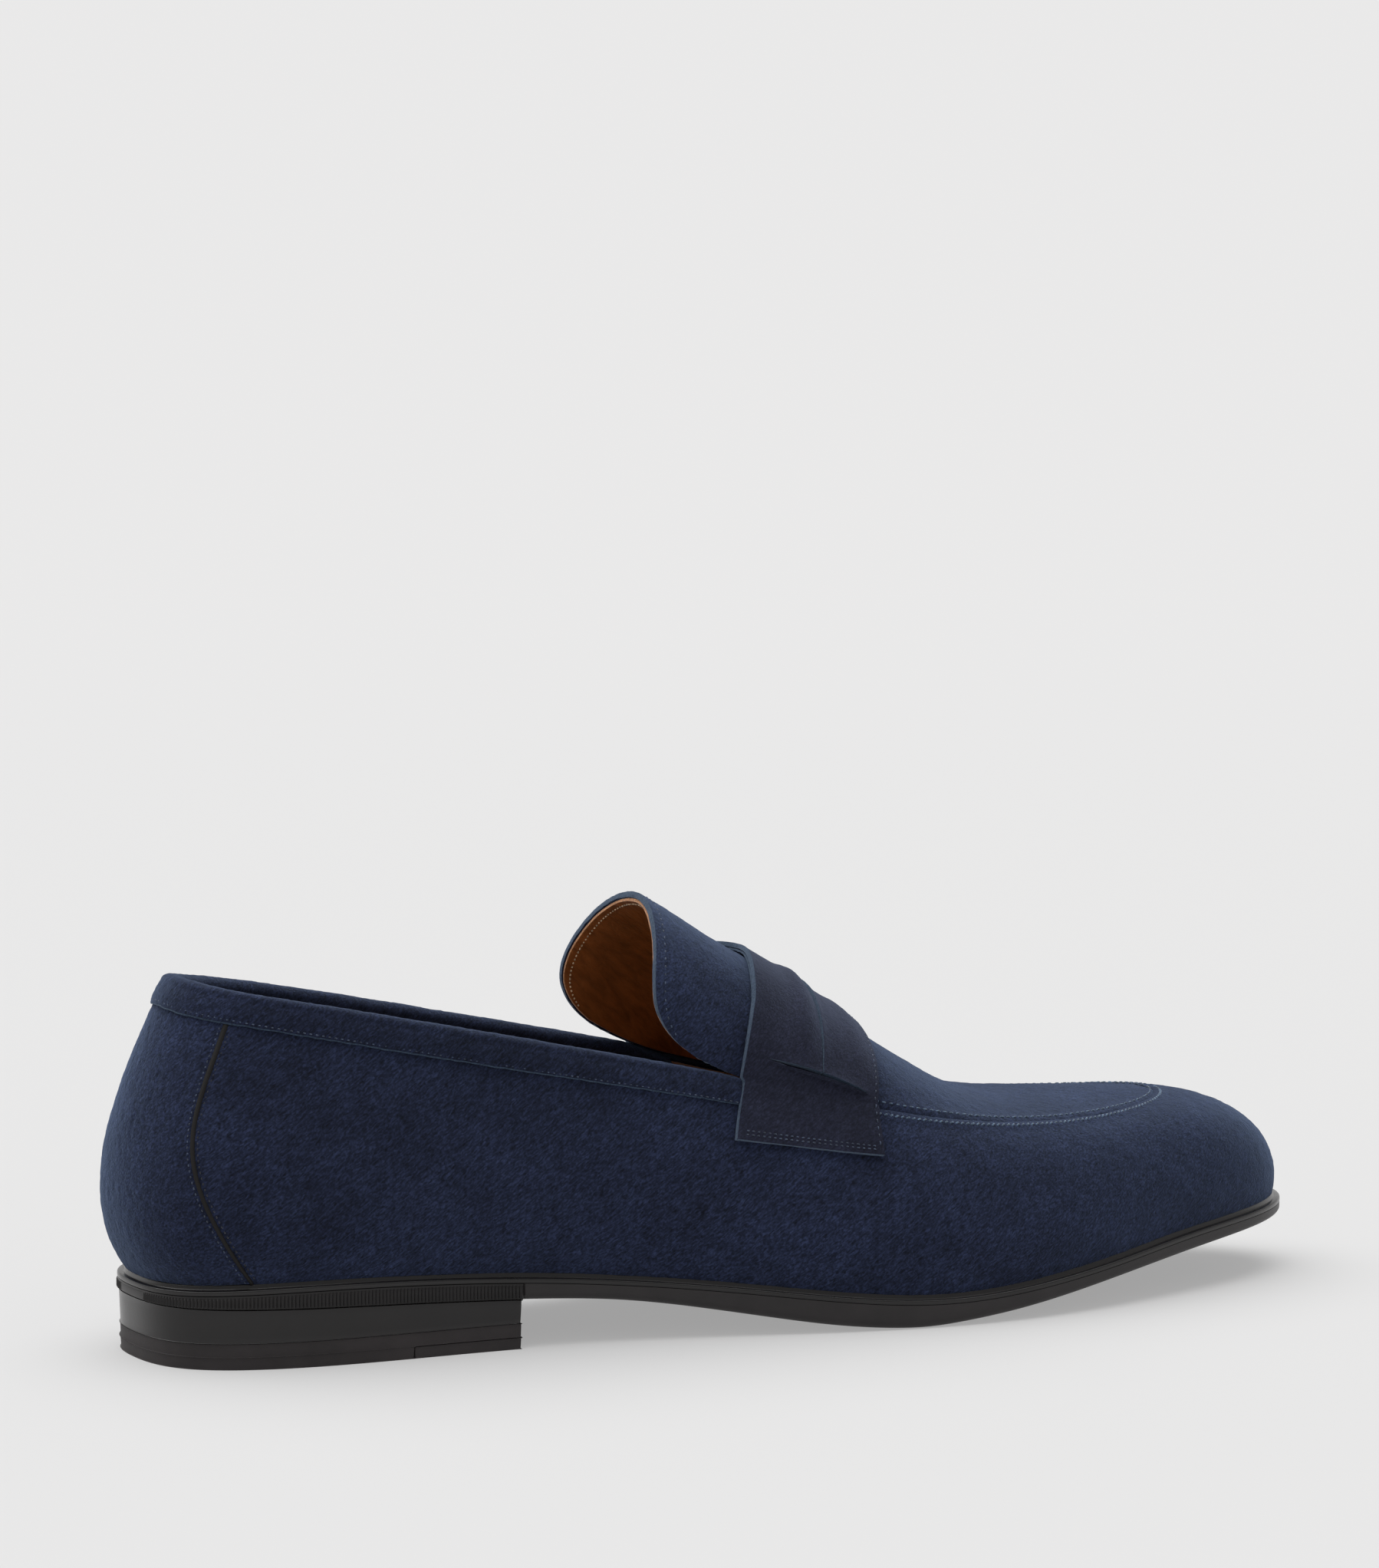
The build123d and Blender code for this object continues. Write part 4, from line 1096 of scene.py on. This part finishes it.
def build_heel_pad():
    """Soft pad under the sock: crowned, thinning out to its edge."""
    curve = heel_plan(-5.6, 25.0)
    across = np.linspace(0, 1, 40)[1:-1, None]
    front = curve[-1] + across * (curve[0] - curve[-1]) + [[3.0, 0]] * np.sin(np.pi * across)
    edge = np.vstack([curve, front])
    middle = np.column_stack([np.clip(edge[:, 0], -28, 15), 0 * edge[:, 0]])
    shares = np.array([1.0, 0.985, 0.94, 0.85, 0.7, 0.5, 0.25, 0.0])
    crown = np.sqrt(np.clip(1 - shares**6, 0, 1))
    rings = []
    floor = lambda x: edge_height(x) + FILLER + INSOLE + 2 * GLUE
    for share, rise in list(zip(shares, crown))[::-1]:
        xy = middle + share * (edge - middle)
        thick = sock_base(xy[:, 0]) - GLUE - floor(xy[:, 0])
        rings.append(np.column_stack([xy, floor(xy[:, 0]) + 0.3 * thick + 0.65 * thick * rise]))
    for share, rise in list(zip(shares, crown))[1:]:
        xy = middle + share * (edge - middle)
        thick = sock_base(xy[:, 0]) - GLUE - floor(xy[:, 0])
        rings.append(np.column_stack([xy, floor(xy[:, 0]) + 0.3 * thick * (1 - rise)]))
    points = np.array(rings)
    obj = make("heel_pad_foam", points, quads(len(rings), len(edge), ring=True, flip=True), [skins["foam"]])
    weld(obj)
    return obj


# ---- stage ----
CAMERA_TARGET = np.array([79.7, -42.7, 131.7])
CAMERA_DISTANCE = 1540.1
CAMERA_YAW, CAMERA_ELEVATION = np.radians(25.5), np.radians(6.2)
CAMERA_LENS = 152.74


def add_camera():
    towards = np.array([np.sin(CAMERA_YAW) * np.cos(CAMERA_ELEVATION),
                        np.cos(CAMERA_YAW) * np.cos(CAMERA_ELEVATION), -np.sin(CAMERA_ELEVATION)])
    data = bpy.data.cameras.new("camera")
    data.sensor_fit = "VERTICAL"
    data.sensor_height = 36
    data.lens = CAMERA_LENS
    data.clip_start, data.clip_end = 0.05, 50
    camera = bpy.data.objects.new("camera", data)
    camera.location = (CAMERA_TARGET - towards * CAMERA_DISTANCE) * MM
    camera.rotation_euler = Vector(towards).to_track_quat("-Z", "Y").to_euler()
    bpy.context.scene.collection.objects.link(camera)
    bpy.context.scene.camera = camera


def add_stage():
    """A pale floor that curves up all round, far from the shoe, and glows a little so that shadows stay light."""
    flat, bend = 2600.0, 1500.0
    reach = [np.array([r, 0.0]) for r in (0, 150, 400, 900, 1600, flat)]
    reach += [np.array([flat + bend * np.sin(a), bend * (1 - np.cos(a))])
              for a in np.linspace(0, np.pi / 2.4, 16)[1:]]
    turn = np.linspace(0, 2 * np.pi, 96, endpoint=False)
    rings = [np.column_stack([100 + r * np.cos(turn), r * np.sin(turn), z + 0 * turn]) for r, z in reach]
    paper = new_material("paper_white", (PAPER, PAPER, PAPER), 0.9, Specular_IOR_Level=0.0)
    shader = paper.node_tree.nodes["Principled BSDF"]
    shader.inputs["Emission Color"].default_value = (1.0, 0.995, 0.995, 1)
    shader.inputs["Emission Strength"].default_value = PAPER_GLOW
    glow = node(paper, "ShaderNodeEmission", Color=(1.0, 0.995, 0.995, 1), Strength=BACKDROP)
    coordinates = node(paper, "ShaderNodeTexCoord")
    length = node(paper, "ShaderNodeVectorMath", operation="LENGTH")
    link(paper, coordinates.outputs["Object"], length.inputs[0])
    far = node(paper, "ShaderNodeMapRange", From_Min=0.9, From_Max=2.2)
    far.interpolation_type = "SMOOTHSTEP"
    link(paper, length.outputs["Value"], far.inputs["Value"])
    both = node(paper, "ShaderNodeMixShader")
    link(paper, far.outputs["Result"], both.inputs["Fac"])
    link(paper, shader.outputs["BSDF"], both.inputs[1])
    link(paper, glow.outputs["Emission"], both.inputs[2])
    link(paper, both.outputs["Shader"], paper.node_tree.nodes["Material Output"].inputs["Surface"])
    floor = make("floor", np.array(rings), quads(len(rings), len(turn), ring=True), [paper])
    weld(floor)


PAPER, PAPER_GLOW, BACKDROP = 0.30, 0.34, 0.82


def add_lights():
    world = bpy.data.worlds.new("studio")
    world.use_nodes = True
    world.node_tree.nodes["Background"].inputs["Color"].default_value = (1.0, 0.995, 0.99, 1)
    world.node_tree.nodes["Background"].inputs["Strength"].default_value = 0.45
    bpy.context.scene.world = world
    key = bpy.data.lights.new("key", "SUN")
    key.energy = 3.6
    key.angle = np.radians(80)
    light = bpy.data.objects.new("key", key)
    light.rotation_euler = Vector((-0.15, 0.25, 1.0)).to_track_quat("Z", "Y").to_euler()
    bpy.context.scene.collection.objects.link(light)
    bpy.context.scene.view_settings.view_transform = "Standard"


# ---- build ----
def keep(obj, slot_name, *nodes):
    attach(obj, "root")
    if nodes:
        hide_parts(*nodes)


add_camera()
add_lights()
add_stage()

keep(build_vamp(), "suede", "vamp_wall")
keep(build_counter(), "suede", "heel_counter_cover")
keep(build_apron(), "suede", "apron_tongue")
keep(build_binding(), "suede", "topline_binding")
keep(build_piping("seam_cord_outer", 1), "piping", "seam_piping_outer")
keep(build_piping("seam_cord_inner", -1), "piping", "seam_piping_inner")
strap_top = STRAP_LIFT + STRAP + 0.1
keep(build_strap("saddle_strap_leather", strap_top, STRAP, True), "strap_suede", "saddle_strap")
keep(build_strap("saddle_strap_underside", strap_top - STRAP - 0.08, STRAP_UNDER, False), "strap_suede")
keep(build_tongue_lining(), "tan_lining", "tongue_lining")
keep(build_wall_lining("heel_grip_leather", -GRIP_END, GRIP_END, "dark", "dark", 220, 71), "grip_suede",
     "heel_grip_lining")
keep(build_wall_lining("vamp_lining_leather", GRIP_END + 0.02, ROUND - GRIP_END - 0.02, "tan", "tan_edge",
                       300, 73), "tan_lining", "vamp_lining")
for number, (side, rear) in enumerate(product((1, -1), (True, False))):
    offset = 1.2 * side * (1 if rear else -1)
    keep(counter_stitches(f"counter_stitches_{number}", side, offset, "dim_thread" if rear else "dark_thread",
                          80 + number), "suede")
for row in apron_seam_stitches() + strap_stitches(strap_top) + tongue_stitches() + [binding_stitches()]:
    keep(row, "suede")
keep(build_welt(), "sole_edge", "welt")
keep(build_outsole(), "sole_edge", "outsole")
keep(build_rand(), "rand", "heel_rand")
block, upper, rear, insert = build_heel()
keep(block, "heel_stack", "heel_block")
keep(upper, "tread_rubber", "top_lift")
keep(rear, "tread_rubber")
keep(insert, "tread_rubber", "top_lift_insert")
keep(build_sock(), "tan_lining", "sock_lining")
pad = build_heel_pad()
keep(pad, "foam", "heel_pad")

FINISHES = {
    "strap_backing": "strap", "heel_stiffener": "stiff", "toe_puff": "stiff",
    "interlining_outer": "stiff", "interlining_inner": "stiff", "forefoot_filler": "cork",
    "heel_filler": "fibre", "waist_filler": "fibre", "insole_board": "fibre",
    "shank": "steel", "shank_rivets": "steel", "heel_nails": "nail", "heel_screw": "nail",
}
for name, skin in FINISHES.items():
    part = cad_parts[name]
    part.data.materials.clear()
    part.data.materials.append(skins[skin])
